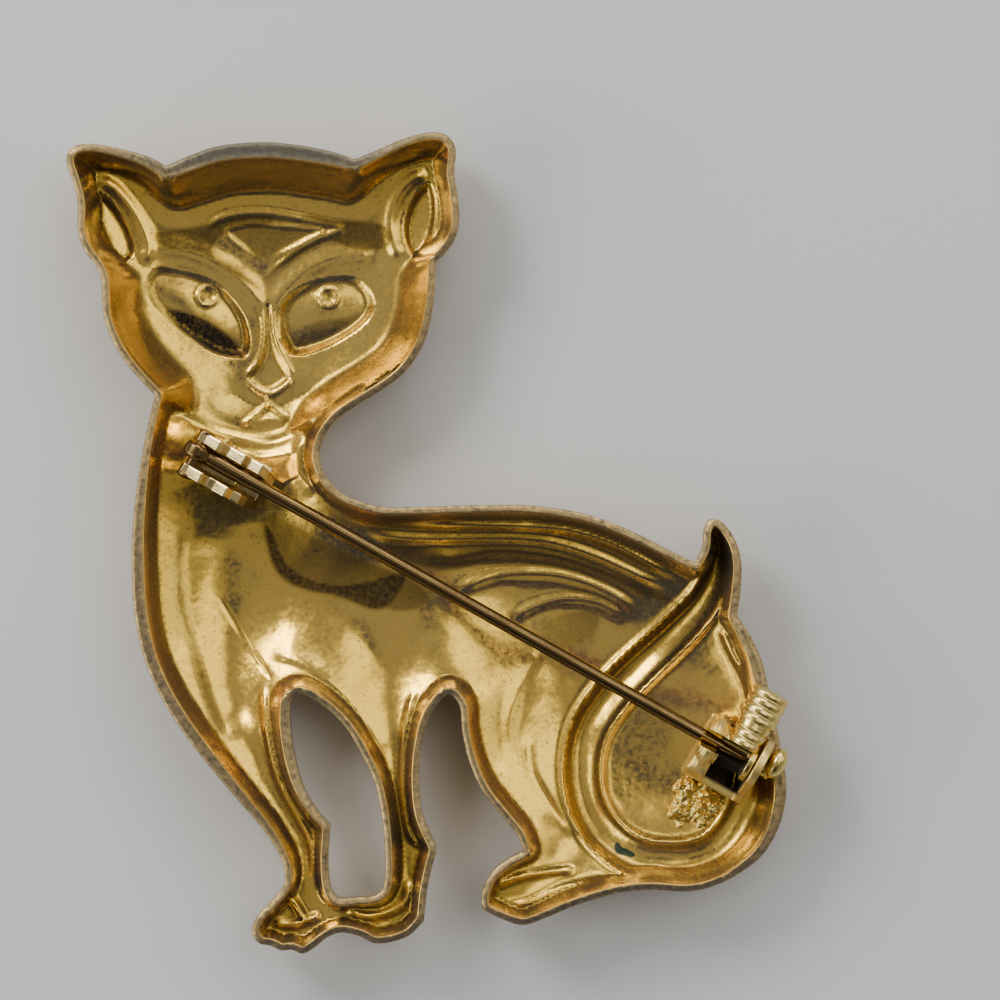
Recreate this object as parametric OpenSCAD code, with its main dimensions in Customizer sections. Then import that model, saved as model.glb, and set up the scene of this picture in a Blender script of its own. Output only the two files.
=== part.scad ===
// Hollow-back cat brooch, lying face down. +Z points out of its back, and X and Y run across and up the cat
// as its back is seen. The origin is under the middle of its box, on the surface that the face rests on.

/* [Cat] */
// Width across the ears, body and tail
cat_w = 43.9; // [38:0.1:56]
// Height from the paws to the ear tips
cat_h = 50; // [44:0.1:64]
// Depth from the filed rim to the highest points of the front
cat_d = 5; // [4.4:0.1:7]

/* [Struck sheet] */
// Thickness of the sheet at the floor of the hollow
sheet_t = 0.8; // [0.6:0.05:1.1]
// Width of the filed rim round the hollow
rim_w = 0.75; // [0.5:0.05:1]
// Width over which the side wall curves down to the deepest floor
wall_w = 2.2; // [1.6:0.05:2.6]
// Size of one cell of the floor's relief
relief_cell = 1.7; // [1.2:0.1:2.5]

/* [Hinge] */
// Diameter of the rivet's shank
rivet_d = 0.7; // [0.5:0.05:0.8]
// Thickness of each hinge ear
ear_t = 0.6; // [0.4:0.05:0.8]
// Length of the hinge ears along the pin
ear_len = 5.6; // [4.5:0.1:7]
// Metal round the rivet in the ears
ear_margin = 0.6; // [0.45:0.05:0.9]
// Thickness of the plate under the hinge ears
bracket_t = 0.8; // [0.5:0.05:1.2]

/* [Pin] */
// Diameter of the pin's shank
pin_d = 0.85; // [0.7:0.05:1]
// Height of the pin's axis above the rim
pin_rise = 0.35; // [0.3:0.05:0.8]
// Outer diameter of the pin's flattened eye
eye_d = 1.8; // [1.6:0.05:2.2]
// Thickness of the pin's eye
eye_t = 1.05; // [0.9:0.05:1.3]
// Length of the tapered point
point_len = 3.2; // [2:0.1:5]
// Diameter at the very tip
tip_d = 0.3; // [0.2:0.05:0.5]

/* [Catch] */
// Thickness of the cheek nearer the hinge
near_cheek_t = 1.2; // [0.8:0.05:1.6]
// Thickness of the far cheek
far_cheek_t = 0.5; // [0.4:0.05:0.9]
// Room between the cheeks
catch_gap = 2.3; // [2:0.05:3]
// Wall of the roller's sleeve
sleeve_wall = 0.65; // [0.5:0.05:0.8]
// Metal of the cheeks round the roller
cheek_margin = 0.45; // [0.35:0.05:0.8]
// Length of the milled thumb bar from the roller's axis
thumb_len = 4.4; // [3.6:0.1:5.5]
// Slope of the thumb bar down towards the rim
thumb_slope = 16; // [10:1:20]
// Number of milled ribs on the thumb bar
ribs = 7; // [5:1:9]
// Diameter of the ball at the end of the roller
ball_d = 1.2; // [0.9:0.05:1.4]

/* [Fits] */
// Radial clearance of a shaft that turns in its hole
turning_fit = 0.05; // [0.02:0.01:0.08]
// Gap on each side of a part that moves between two walls
side_gap = 0.1; // [0.06:0.01:0.2]
// Radial gap round the rivet in the hinge ears
rivet_gap = 0.02; // [0.01:0.01:0.05]

/* [Hidden] */

pct = 1 / 100;
eps = 0.01;

// Outer edge, clockwise from the left ear tip: across and up in percent of the width and height, and 1 at a
// sharp corner
EDGE = [
    [0, 96.5, 0], [0.8, 98.1, 0], [3.5, 98.6, 0], [8, 97.9, 0], [11.5, 97, 0], [13.8, 95.9, 1],
    [17.5, 97.3, 0], [21.5, 98.4, 0], [27.5, 98.8, 0], [32.5, 98.4, 0], [37, 97.6, 0], [40, 96.7, 1],
    [43, 97.8, 0], [47, 99.3, 0], [50.5, 100, 0], [52.8, 99.6, 0], [54, 98, 0], [53.8, 95, 0],
    [54.4, 91.5, 0], [54.4, 88.5, 0], [53.4, 86.3, 0], [51.3, 84.2, 1], [51.1, 81, 0], [50.6, 77.5, 0],
    [49.4, 74, 0], [47, 70.9, 0], [44, 68.8, 0], [40, 66.6, 0], [37.5, 65, 0], [35.8, 63, 0],
    [35.1, 60.7, 0], [35.9, 58.3, 0], [37.7, 56.4, 0], [40.3, 55.2, 0], [44, 54.4, 0], [49, 54.4, 0],
    [57, 54.6, 0], [64, 54.6, 0], [69.5, 54, 0], [74, 53, 0], [79, 51.2, 0], [83.5, 49.2, 0],
    [87.2, 47.6, 1], [88.2, 49.5, 0], [88.4, 51.5, 0], [89.3, 52.9, 0], [91, 52.5, 0], [92.8, 50.3, 0],
    [93.6, 47.5, 0], [93.5, 44, 0], [93, 41.2, 1], [94.8, 38.8, 0], [96.3, 36, 0], [97.2, 33, 0],
    [98.4, 28, 0], [99.7, 22, 0], [99.7, 18.5, 0], [98.6, 15, 0], [96.6, 12.1, 0], [94, 10.2, 0],
    [90.5, 8.5, 0], [86.5, 7.6, 0], [81, 7.8, 0], [76.5, 7.4, 0], [71, 6, 0], [66.5, 4.4, 0],
    [63.3, 3.5, 0], [60.2, 4.3, 0], [57.7, 5.4, 1], [57.6, 7.3, 0], [58.8, 9.7, 0], [60.8, 11.3, 0],
    [63.4, 12.5, 1], [62.4, 14.6, 0], [60, 17.2, 0], [57.6, 20, 0], [55.9, 23.3, 0], [54.9, 27, 0],
    [54.6, 30, 0], [53.2, 31.6, 0], [51.7, 30.7, 0], [50.2, 28.5, 0], [49.2, 25, 0], [48.9, 21, 0],
    [49.3, 17.3, 0], [50.4, 14.7, 0], [51.3, 12.8, 0], [50.7, 10.5, 0], [50, 7.5, 0], [49.6, 4, 1],
    [47.5, 2.2, 0], [44.8, 1.4, 0], [42.6, 1.3, 0], [40.8, 2.1, 0], [38.2, 2.6, 0], [36.2, 2, 0],
    [34.5, 0.8, 0], [32.8, 0, 0], [31.3, 0.5, 0], [29.8, 0.4, 0], [28.3, 1, 0], [26.7, 1.3, 0],
    [25.7, 2.8, 0], [26.4, 4.5, 0], [28.5, 6.5, 0], [30.2, 8.6, 0], [29.9, 11.3, 0], [27.5, 14.9, 0],
    [24.3, 18.2, 0], [20.7, 21.9, 0], [16.9, 26.1, 0], [13.4, 30.8, 0], [10.8, 35.9, 0], [9.5, 41.2, 0],
    [9.1, 46.5, 0], [9.2, 52, 0], [10, 58, 0], [11.1, 63.5, 0], [12.3, 68, 1], [10, 70.1, 0],
    [7.9, 72.4, 0], [6.2, 75, 0], [5.1, 78, 0], [4.9, 81.8, 0], [4.1, 83.8, 0], [2.6, 85.5, 0],
    [1.6, 88, 0], [1.6, 91.3, 0], [0.9, 94, 0]
];

// Edge of the opening between the front legs, clockwise, in the same columns
LEG_GAP = [
    [31.1, 30.6, 0], [31.9, 31.6, 0], [33.2, 31.5, 0], [35.6, 30.2, 0], [38.4, 27.9, 0], [40.6, 24.9, 0],
    [42.6, 21.2, 0], [43.7, 17, 0], [44.2, 12.5, 0], [44.1, 8.6, 0], [43, 7.2, 0], [40, 6.9, 0],
    [37.7, 6.8, 0], [36.6, 8.2, 0], [36.3, 11.5, 0], [36.6, 15.6, 1], [34.7, 17.5, 0], [33, 20, 0],
    [31.8, 23.5, 0], [31.1, 27.5, 0]
];
edge_cell = 1.5;

// Lower edge of the head over the neck, left to right, in percent across and up
CHIN = [[9, 71], [13, 67.6], [17, 64.6], [21.5, 62.7], [27, 62], [32, 63], [36, 65.4], [41, 68.5]];

// Height of the neck's top in percent
NECK_AT = 62;

// Depths of the front below the rim in percent of the depth: the head, and the body beside it
head_level = 92;
body_level = 80;

// Broad swellings of the front: centre across and up, half width across and up in percent, turn in degrees,
// and height in percent of the depth
SWELLS = [
    [76, 28, 24, 26, 0, 12],
    [23, 46, 14, 20, 0, 21],
    [22, 60, 13, 7, 0, -8],
    [56, 44, 18, 9, 0, -6],
    [62, 8, 8, 5, 10, -12],
    [36, 5, 16, 8, 0, -14]
];

// Raised cords and hollows of the front: height in percent of the depth, below zero for a hollow, then the
// points across and up with the half width there, all in percent
CORDS = [
    [7, [[11.5, 82.8, 1.4], [15, 81, 3.2], [19, 78.6, 3.6], [22.3, 76, 2.5], [24.6, 73.6, 1]]],
    [7, [[43.2, 82.8, 1.4], [39.8, 81, 3.2], [35.8, 78.6, 3.6], [32.5, 76, 2.5], [30.2, 73.6, 1]]],
    [11, [[27.2, 82, 1.1], [27.2, 78, 1.3], [27.4, 74, 1.5], [27.6, 70.6, 2.7]]],
    [-5, [[3.9, 92.2, 0.9], [5.3, 89.2, 1.9], [6.7, 86.8, 1.9], [7.8, 85, 0.9]]],
    [-5, [[49.6, 93.2, 0.9], [48.8, 90.4, 2.1], [48.4, 87.6, 2.2], [48.8, 85.6, 1]]],
    [-4, [[24.2, 64.9, 0.5], [27.6, 67.6, 0.6], [30.8, 64.9, 0.5]]],
    [-3, [[20.5, 88.6, 0.6], [28.5, 90, 0.66], [37.5, 88.4, 0.59], [27.6, 84.4, 0.7], [20.3, 88.4, 0.57]]],
    [-5, [[38, 52.3, 0.8], [47, 50.9, 0.9], [67, 50.5, 0.9], [77, 48, 0.9], [86, 44.8, 0.7]]],
    [-5, [[44, 49, 0.8], [52, 48.6, 0.9], [64, 48.8, 0.9], [74, 46.6, 0.9], [85, 42.4, 0.6]]],
    [-4, [[60.5, 41.5, 0.6], [66, 43.3, 0.9], [73, 43.1, 0.9], [79, 40.2, 0.6]]],
    [-4, [[62.5, 37, 0.6], [60.9, 29, 0.9], [62, 20.5, 0.9], [66.5, 14.8, 0.6]]],
    [-4, [[21.5, 42.5, 0.5], [24.3, 38.3, 0.7], [28.2, 33.3, 0.5]]],
    [5, [[28.5, 33, 0.9], [27.4, 26, 1], [30, 19, 1], [33.8, 12.5, 0.9], [34.6, 8, 0.9]]],
    [5, [[46.8, 31, 0.9], [45.8, 25, 1], [46.6, 15, 1], [46.7, 8, 0.9]]],
    [5, [[29.3, 3.4, 1], [32.5, 3, 1.2], [35.5, 4.6, 1]]],
    [5, [[39, 4.6, 1], [42.8, 3.8, 1.2], [46, 5, 1]]],
    [6, [[59.8, 7.8, 1], [62.6, 6.8, 1.3], [67, 7.6, 1.2], [72, 9.2, 0.8]]]
];

// Middle of the wrapped tail, from the rump round the foot to the standing tip, with its half width, in
// percent
TAIL = [
    [95.6, 31, 1.8], [95.9, 25, 2.4], [95.3, 19.5, 2.7], [93, 14.8, 2.7], [89.5, 11.8, 2.7],
    [84.5, 10.8, 2.7],
    [79, 11.5, 2.7], [75, 14, 2.7], [72.4, 17.6, 2.7], [71.6, 22, 2.7], [72.5, 26.6, 2.7], [75.6, 31, 2.7],
    [80, 35, 2.7], [84.8, 39, 2.6], [88.4, 42.6, 2.4], [90.4, 46.4, 2], [90.9, 49.2, 1.5]
];
tail_rise = 16;
// How far the middle of every cord lies inside the surface that it stands on
cord_sink = 0.06;

// Sections of the side wall, hollow and outside: share of the wall's width in from the edge, and share of the
// depth
HOLLOW_WALL = [[0, 0], [0.22, 0.44], [0.58, 0.76], [1, 1.02]];
OUTER_WALL = [[0, 0], [0, 0.36], [0.16, 0.74], [0.6, 1.01]];

// Where the pin's rivet stands and where the middle of the roller lies, across and up in percent
HINGE_AT = [18.3, 61.1];
CATCH_AT = [93, 24.3];

function place(p) = [(p[0] * pct - 0.5) * cat_w, (p[1] * pct - 0.5) * cat_h];

hinge_p = place(HINGE_AT);
catch_p = place(CATCH_AT);
pin_dir = catch_p - hinge_p;
pin_reach = norm(pin_dir);
pin_turn = atan2(pin_dir[1], pin_dir[0]);
pin_z = cat_d + pin_rise;
pin_r = pin_d / 2;

// Stations along the pin, counted from the rivet
gap_end = pin_reach + catch_gap / 2;
tip_at = gap_end - side_gap - 0.4;

// A smooth closed curve through the rows of an edge table, which breaks at its sharp corners
function wrap(t, i) = t[(i + len(t)) % len(t)];
function tangent(t, i) = wrap(t, i)[2] == 1 ? undef : (place(wrap(t, i + 1)) - place(wrap(t, i - 1))) / 2;
function hermite(a, b, ta, tb, s) =
    (2 * pow(s, 3) - 3 * s * s + 1) * a + (pow(s, 3) - 2 * s * s + s) * ta
    + (3 * s * s - 2 * pow(s, 3)) * b + (pow(s, 3) - s * s) * tb;
function edge_curve(t) = [
    for (i = [0 : len(t) - 1])
        let (
            a = place(wrap(t, i)),
            b = place(wrap(t, i + 1)),
            ta = is_undef(tangent(t, i)) ? b - a : tangent(t, i),
            tb = is_undef(tangent(t, i + 1)) ? b - a : tangent(t, i + 1),
            most = 1.3 * norm(b - a),
            ka = min(1, most / norm(ta)),
            kb = min(1, most / norm(tb)),
            steps = ceil(norm(b - a) / edge_cell)
        )
        for (k = [0 : steps - 1]) hermite(a, b, ta * ka, tb * kb, k / steps)
];

function along(p, a, b) = max(0, min(1, ((p - a) * (b - a)) / ((b - a) * (b - a))));
function gap_to(p, a, b) = norm(p - a - along(p, a, b) * (b - a));
function loop_gap(p, pts) = min([for (i = [0 : len(pts) - 1]) gap_to(p, pts[i], wrap(pts, i + 1))]);
function bump(t) = t < 0.96 ? pow(1 - t * t, 2) : 0;

// Depth of the front at a point as a share of the whole depth, without its cords and side wall
function swell_share(p) = [
    for (b = SWELLS)
        let (
            v = p - place(b),
            x = (v[0] * cos(b[4]) + v[1] * sin(b[4])) / (b[2] * pct * cat_w),
            y = (v[1] * cos(b[4]) - v[0] * sin(b[4])) / (b[3] * pct * cat_h)
        )
        b[5] * pct * bump(norm([x, y]))
] * [for (b = SWELLS) 1];
function body_z(p) = cat_d * (1 - min(1, body_level * pct + swell_share(p)));
head_z = cat_d * (1 - head_level * pct);
function floor_z(p) = body_z(p) + sheet_t;

cols = ceil((cat_w + 2) / relief_cell);
rows = ceil((cat_h + 2) / relief_cell);
function cell_at(i, j) = [(i - cols / 2) * relief_cell, (j - rows / 2) * relief_cell];

// Everything above a relief whose heights stand in a grid, up to the given top
module above(heights, top) {
    n = (cols + 1) * (rows + 1);
    points = [
        for (j = [0 : rows]) for (i = [0 : cols]) concat(cell_at(i, j), [heights[j * (cols + 1) + i]]),
        for (j = [0 : rows]) for (i = [0 : cols]) concat(cell_at(i, j), [top])
    ];
    function id(i, j, layer) = layer * n + j * (cols + 1) + i;
    faces = [
        for (j = [0 : rows - 1]) for (i = [0 : cols - 1]) each [
            [id(i, j, 0), id(i + 1, j, 0), id(i + 1, j + 1, 0)],
            [id(i, j, 0), id(i + 1, j + 1, 0), id(i, j + 1, 0)],
            [id(i, j, 1), id(i + 1, j + 1, 1), id(i + 1, j, 1)],
            [id(i, j, 1), id(i, j + 1, 1), id(i + 1, j + 1, 1)]
        ],
        for (i = [0 : cols - 1]) each [
            [id(i, 0, 0), id(i + 1, 0, 1), id(i + 1, 0, 0)],
            [id(i, 0, 0), id(i, 0, 1), id(i + 1, 0, 1)],
            [id(i, rows, 0), id(i + 1, rows, 0), id(i + 1, rows, 1)],
            [id(i, rows, 0), id(i + 1, rows, 1), id(i, rows, 1)]
        ],
        for (j = [0 : rows - 1]) each [
            [id(0, j, 0), id(0, j + 1, 0), id(0, j + 1, 1)],
            [id(0, j, 0), id(0, j + 1, 1), id(0, j, 1)],
            [id(cols, j, 0), id(cols, j + 1, 1), id(cols, j + 1, 0)],
            [id(cols, j, 0), id(cols, j, 1), id(cols, j + 1, 1)]
        ]
    ];
    polyhedron(points, faces);
}

// Unit direction into the metal at each point of an edge: side is 1 on the outer edge and -1 round an opening
function inward(pts, side) = [
    for (i = [0 : len(pts) - 1])
        let (t = wrap(pts, i + 1) - wrap(pts, i - 1))
        side * [t[1], -t[0]] / norm(t)
];

// Farthest that a point can go inwards before it comes nearer to another stretch of the edge
function free_reach(p, n, edges, low, high, tries) =
    tries == 0 ? low
    : let (mid = (low + high) / 2, q = p + mid * n, gap = min([for (e = edges) loop_gap(q, e)]))
        gap > 0.94 * mid ? free_reach(p, n, edges, mid, high, tries - 1)
        : free_reach(p, n, edges, low, mid, tries - 1);
function reaches(pts, normals, edges) = [
    for (i = [0 : len(pts) - 1]) free_reach(pts[i], normals[i], edges, 0.2, rim_w + wall_w, 5)
];
function eased(r) = [for (i = [0 : len(r) - 1]) (wrap(r, i - 1) + 2 * r[i] + wrap(r, i + 1)) / 4];

// One ring of the wall for each row of its section, from a height above the rim down
function wall_rings(pts, normals, free, section, start) = [
    for (row = concat([[section[0][0], -0.3]], section)) [
        for (i = [0 : len(pts) - 1])
            let (
                begin = min(start, 0.55 * free[i]),
                room = min(wall_w, max(0.1, free[i] - begin)),
                q = pts[i] + (begin + row[0] * room) * normals[i]
            )
            [q[0], q[1], cat_d * (1 - row[1])]
    ]
];

// Solid between stacked rings of equally many points
module ring_stack(rings, turned) {
    n = len(rings[0]);
    function next(i) = (i + 1) % n;
    function band(k, i) = turned
        ? [k * n + i, k * n + next(i), (k + 1) * n + next(i), (k + 1) * n + i]
        : [k * n + i, (k + 1) * n + i, (k + 1) * n + next(i), k * n + next(i)];
    sides = [
        for (k = [0 : len(rings) - 2]) for (i = [0 : n - 1]) let (f = band(k, i)) each [
            [f[0], f[1], f[2]],
            [f[0], f[2], f[3]]
        ]
    ];
    first = [for (i = [0 : n - 1]) i];
    last = [for (i = [n - 1 : -1 : 0]) (len(rings) - 1) * n + i];
    polyhedron([for (r = rings) each r], concat(sides, [turned ? last : first, turned ? first : last]));
}

// Everything inside the wall that the section gives, outer edge less the opening between the legs
module walled(section, start) {
    edge = edge_curve(EDGE);
    gap = edge_curve(LEG_GAP);
    edge_in = inward(edge, 1);
    gap_in = inward(gap, -1);
    edge_free = eased(reaches(edge, edge_in, [edge, gap]));
    gap_free = eased(reaches(gap, gap_in, [edge, gap]));
    difference() {
        ring_stack(wall_rings(edge, edge_in, edge_free, section, start), false);
        ring_stack(wall_rings(gap, gap_in, gap_free, section, start), false);
    }
}

// The head stands deeper than the body, with its lower edge along the chin line
module head_block(z, inset) {
    low = [for (q = CHIN) place(q) + [0, inset]];
    high = [[cat_w, low[len(low) - 1][1]], [cat_w, cat_h], [-cat_w, cat_h], [-cat_w, low[0][1]]];
    translate([0, 0, z]) linear_extrude(2 * cat_d) polygon(concat(low, high));
}

// A cord of the relief, on the front or in the hollow: round links along its points, equally flat
module cord(points, rise, lift) {
    flat = abs(rise) * cat_d / (max([for (row = points) row[2]]) * cat_w);
    for (k = [0 : len(points) - 2]) hull() {
        cord_link(points[k], flat, lift + sign(rise) * cord_sink);
        cord_link(points[k + 1], flat, lift + sign(rise) * cord_sink);
    }
}

// A row whose point lies above the neck belongs to the head
module cord_link(row, flat, lift) {
    p = place(row);
    r = row[2] * pct * cat_w;
    z = (row[1] > NECK_AT ? head_z : body_z(p)) + lift;
    translate([p[0], p[1], z]) scale([1, 1, flat]) sphere(r, $fn = r > 1.1 ? 10 : 6);
}

module cords(lift, hollow) {
    for (c = CORDS) if ((c[0] < 0) == hollow) cord(c[1], c[0], lift);
    if (!hollow) cord(TAIL, tail_rise, lift);
}

// Solder that flows out from under a seat: a flat drop round the given corners
module solder(corners, z, spread) {
    hull() for (c = corners) translate([c[0], c[1], z]) scale([1, 1, 0.55]) sphere(spread, $fn = 14);
}

// Everything above the front or above the hollow's floor, which lies one sheet's thickness over it
module relief(lift) {
    difference() {
        union() {
            above([for (j = [0 : rows]) for (i = [0 : cols]) body_z(cell_at(i, j)) + lift], cat_d + 2);
            head_block(head_z + lift, 0.75 * lift);
            cords(lift, false);
        }
        cords(lift, true);
    }
}

module struck_cat() {
    difference() {
        intersection() {
            translate([-cat_w, -cat_h, 0]) cube([2 * cat_w, 2 * cat_h, cat_d]);
            walled(OUTER_WALL, 0);
            relief(0);
        }
        intersection() {
            walled(HOLLOW_WALL, rim_w);
            relief(sheet_t);
        }
    }
    at_hinge() solder([[0, -1.1], [0, 1.1], [ear_len - 1, -1.1], [ear_len - 1, 1.1]], hinge_floor, 0.9);
    at_catch() solder([[-1.1, -2.6], [-1.1, 0.9], [1, -2.6], [1, 0.9]], catch_floor, 0.8);
    at_catch() solder([[0.3, -3], [-0.2, -5]], catch_floor + 0.1, 0.9);
}

// Frame at the foot of the hinge: X runs along the pin and Y across it
module at_hinge() {
    translate(hinge_p) rotate(pin_turn) children();
}

// The same frame, moved along the pin to the middle of the roller
module at_catch() {
    translate(catch_p) rotate(pin_turn) children();
}

hinge_floor = floor_z(hinge_p);
catch_floor = floor_z(catch_p);

rivet_r = rivet_d / 2;
ears_gap = eye_t + 2 * side_gap;
ear_r = rivet_r + ear_margin;
ear_foot = hinge_floor + bracket_t;

// One hinge ear seen from the side: a lobe round the rivet, a lower second lobe, and the slope down to the
// plate
module ear_profile() {
    difference() {
        union() {
            translate([0, pin_z]) circle(ear_r);
            translate([0.52 * ear_len, pin_z]) circle(0.8 * ear_r);
            polygon([
                [-ear_r, ear_foot - 0.4], [-ear_r, pin_z], [0, pin_z + 0.55 * ear_r],
                [0.52 * ear_len, pin_z + 0.5 * ear_r], [0.75 * ear_len, pin_z + 0.1 * ear_r],
                [ear_len - ear_r, ear_foot + 0.8], [ear_len - ear_r, ear_foot - 0.4]
            ]);
        }
        translate([0, pin_z]) circle(rivet_r + rivet_gap, $fn = 48);
    }
}

module hinge_bracket() {
    at_hinge() {
        for (side = [-1, 1])
            translate([0, side * (ears_gap + ear_t) / 2 + ear_t / 2, 0])
                rotate([90, 0, 0]) linear_extrude(ear_t) ear_profile();
        translate([-ear_r, -ears_gap / 2 - ear_t, hinge_floor + 0.1])
            cube([ear_len, ears_gap + 2 * ear_t, bracket_t - 0.1]);
    }
}

sleeve_bore = pin_r + 0.2;
sleeve_r = sleeve_bore + sleeve_wall;
slot_w = pin_d + 2 * 0.13;
cheek_r = sleeve_r + turning_fit + cheek_margin;
neck_r = 0.35 * sleeve_r;
catch_foot = catch_floor + 0.7;
web_y = cheek_r + 0.9;
web_t = 0.6;

// A catch cheek seen along the pin: a lobe round the roller on a leg that leans back to the foot
module cheek_profile() {
    translate([0, pin_z]) circle(cheek_r, $fn = 64);
    polygon([
        [-web_y, catch_foot - 0.5], [-web_y, pin_z - 0.9], [-web_y + 0.5, pin_z - 0.3],
        [-0.55 * cheek_r, pin_z + 0.8 * cheek_r], [0, pin_z], [cheek_r, pin_z],
        [0.8 * cheek_r, catch_foot - 0.5]
    ]);
}

module catch_frame() {
    at_catch() {
        difference() {
            union() {
                translate([-catch_gap / 2 - near_cheek_t, 0, 0])
                    across_pin(near_cheek_t) cheek_profile();
                translate([catch_gap / 2, 0, 0]) across_pin(far_cheek_t) cheek_profile();
            }
            translate([-catch_gap - near_cheek_t, 0, pin_z]) rotate([0, 90, 0])
                cylinder(r = sleeve_r + turning_fit, h = 1.4 * catch_gap + near_cheek_t, $fn = 64);
            translate([-catch_gap - near_cheek_t, -slot_w / 2, pin_z])
                cube([1.4 * catch_gap, slot_w, 2 * cheek_r]);
            translate([0, 0, pin_z]) rotate([0, 90, 0])
                cylinder(r = neck_r + turning_fit, h = catch_gap, $fn = 64);
        }
        translate([-catch_gap / 2 - eps, -web_y, catch_foot - 0.5])
            cube([catch_gap + 2 * eps, web_t, pin_z - 0.9 - catch_foot + 0.5]);
        translate([-catch_gap / 2 - near_cheek_t, -web_y, catch_foot - 0.6])
            cube([catch_gap + near_cheek_t + far_cheek_t, web_y + 0.8 * cheek_r, 0.6]);
        translate([-0.9, -web_y - 1.9, catch_foot - 0.6]) cube([1.8, 2, 0.6]);
    }
}

// Turns a flat profile of Y and Z into a plate that is so thick along X
module across_pin(thick) {
    rotate([90, 0, 90]) linear_extrude(thick) children();
}

module findings() {
    color("khaki") hinge_bracket();
    color("khaki") catch_frame();
}

module cat_body() {
    color("goldenrod") struck_cat();
}

module hinge_rivet() {
    shank = ears_gap + 2 * ear_t + 0.1;
    color("silver") at_hinge() translate([0, shank / 2, pin_z]) rotate([90, 0, 0]) {
        cylinder(r = rivet_r, h = shank, $fn = 48);
        for (z = [-0.2, shank]) translate([0, 0, z]) cylinder(r = 0.62 * ear_r, h = 0.2, $fn = 48);
    }
}

// The neck narrows from the eye to the shank, which starts clear of the ears
pin_neck = ear_len;
shank_end = tip_at - point_len;

module pin_stem() {
    color("dimgray") at_hinge() translate([0, 0, pin_z]) {
        difference() {
            union() {
                translate([0, eye_t / 2, 0]) rotate([90, 0, 0]) cylinder(d = eye_d, h = eye_t, $fn = 64);
                rotate([0, 90, 0]) cylinder(r1 = eye_t / 2, r2 = pin_r, h = pin_neck, $fn = 48);
            }
            translate([0, eye_t, 0]) rotate([90, 0, 0])
                cylinder(r = rivet_r + turning_fit, h = 2 * eye_t, $fn = 48);
        }
        translate([pin_neck, 0, 0]) rotate([0, 90, 0])
            cylinder(r = pin_r, h = shank_end - pin_neck, $fn = 48);
        translate([shank_end, 0, 0]) rotate([0, 90, 0])
            cylinder(r1 = pin_r, r2 = tip_d / 2, h = point_len, $fn = 48);
    }
}

bar_r = catch_gap / 2 - side_gap;
bar_y = slot_w / 2 + 0.02;
bar_len = (thumb_len - bar_y) / cos(thumb_slope);
bar_z = cat_d + 0.15 + (thumb_len - bar_y) * tan(thumb_slope);
rib_pitch = bar_len / ribs;
rib_depth = 0.16 * bar_r;
// How far the root reaches under the bar, and how high it is there
root_len = 0.32 * thumb_len;
root_z = bar_z - root_len * tan(thumb_slope);

// Half of the milled bar's lengthwise section, with one rounded rib after the other
module rib_section() {
    polygon(concat(
        [[0, 0]],
        [for (k = [0 : ribs - 1]) each [
            [bar_r - rib_depth, k * rib_pitch], [bar_r, (k + 0.25) * rib_pitch],
            [bar_r, (k + 0.75) * rib_pitch], [bar_r - rib_depth, (k + 1) * rib_pitch]
        ]],
        [[0, bar_len]]
    ));
}

module thumb_bar() {
    intersection() {
        translate([0, bar_y, bar_z]) rotate([-90 - thumb_slope, 0, 0]) rotate_extrude($fn = 64) rib_section();
        translate([0, bar_y, bar_z]) rotate([-thumb_slope, 0, 0]) translate([-bar_r, -1, 0])
            cube([2 * bar_r, bar_len + 2, bar_r + 1]);
        translate([-bar_r, bar_y, 0]) cube([2 * bar_r, thumb_len + 1, pin_z + 3 * bar_r]);
    }
}

// The ball stands just outside the far cheek and just above the rim
ball_x = gap_end + far_cheek_t + side_gap + ball_d / 2 - pin_reach;
ball_y = 0.8;
ball_z = cat_d + side_gap + ball_d / 2;

module catch_roller() {
    sleeve_end = catch_gap / 2 - side_gap;
    sleeve_start = -catch_gap / 2 - near_cheek_t;
    end_wall = 0.35;
    color("gold") at_catch() {
        translate([0, 0, pin_z]) rotate([0, 90, 0]) {
            difference() {
                translate([0, 0, sleeve_start])
                    cylinder(r = sleeve_r, h = sleeve_end - sleeve_start, $fn = 64);
                translate([0, 0, sleeve_start - 1])
                    cylinder(r = sleeve_bore, h = sleeve_end - end_wall - sleeve_start + 1, $fn = 64);
                translate([-2 * sleeve_r, -slot_w / 2, sleeve_start - 1])
                    cube([2 * sleeve_r, slot_w, sleeve_end - end_wall - sleeve_start + 1]);
            }
            translate([0, 0, sleeve_end - eps])
                cylinder(r = neck_r, h = ball_x - 0.15 - sleeve_end, $fn = 64);
        }
        translate([ball_x, ball_y, ball_z]) sphere(d = ball_d, $fn = 48);
        thumb_bar();
        thumb_root();
    }
}

// The block that joins the thumb bar to the sleeve's shoulder
module thumb_root() {
    inner = sleeve_bore + 0.1;
    translate([-bar_r, 0, 0]) across_pin(2 * bar_r) polygon([
        [bar_y, pin_z + inner], [bar_y, bar_z + 0.2], [bar_y + root_len, root_z + 0.2],
        [bar_y + root_len, root_z], [0.85 * sleeve_r, pin_z], [inner, pin_z]
    ]);
}

cat_body();
findings();  // cat_body
hinge_rivet();
pin_stem();
catch_roller();
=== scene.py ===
"""Looks of a gilt cat brooch that lies face down, so that its hollow back, pin and roller catch are seen."""

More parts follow.
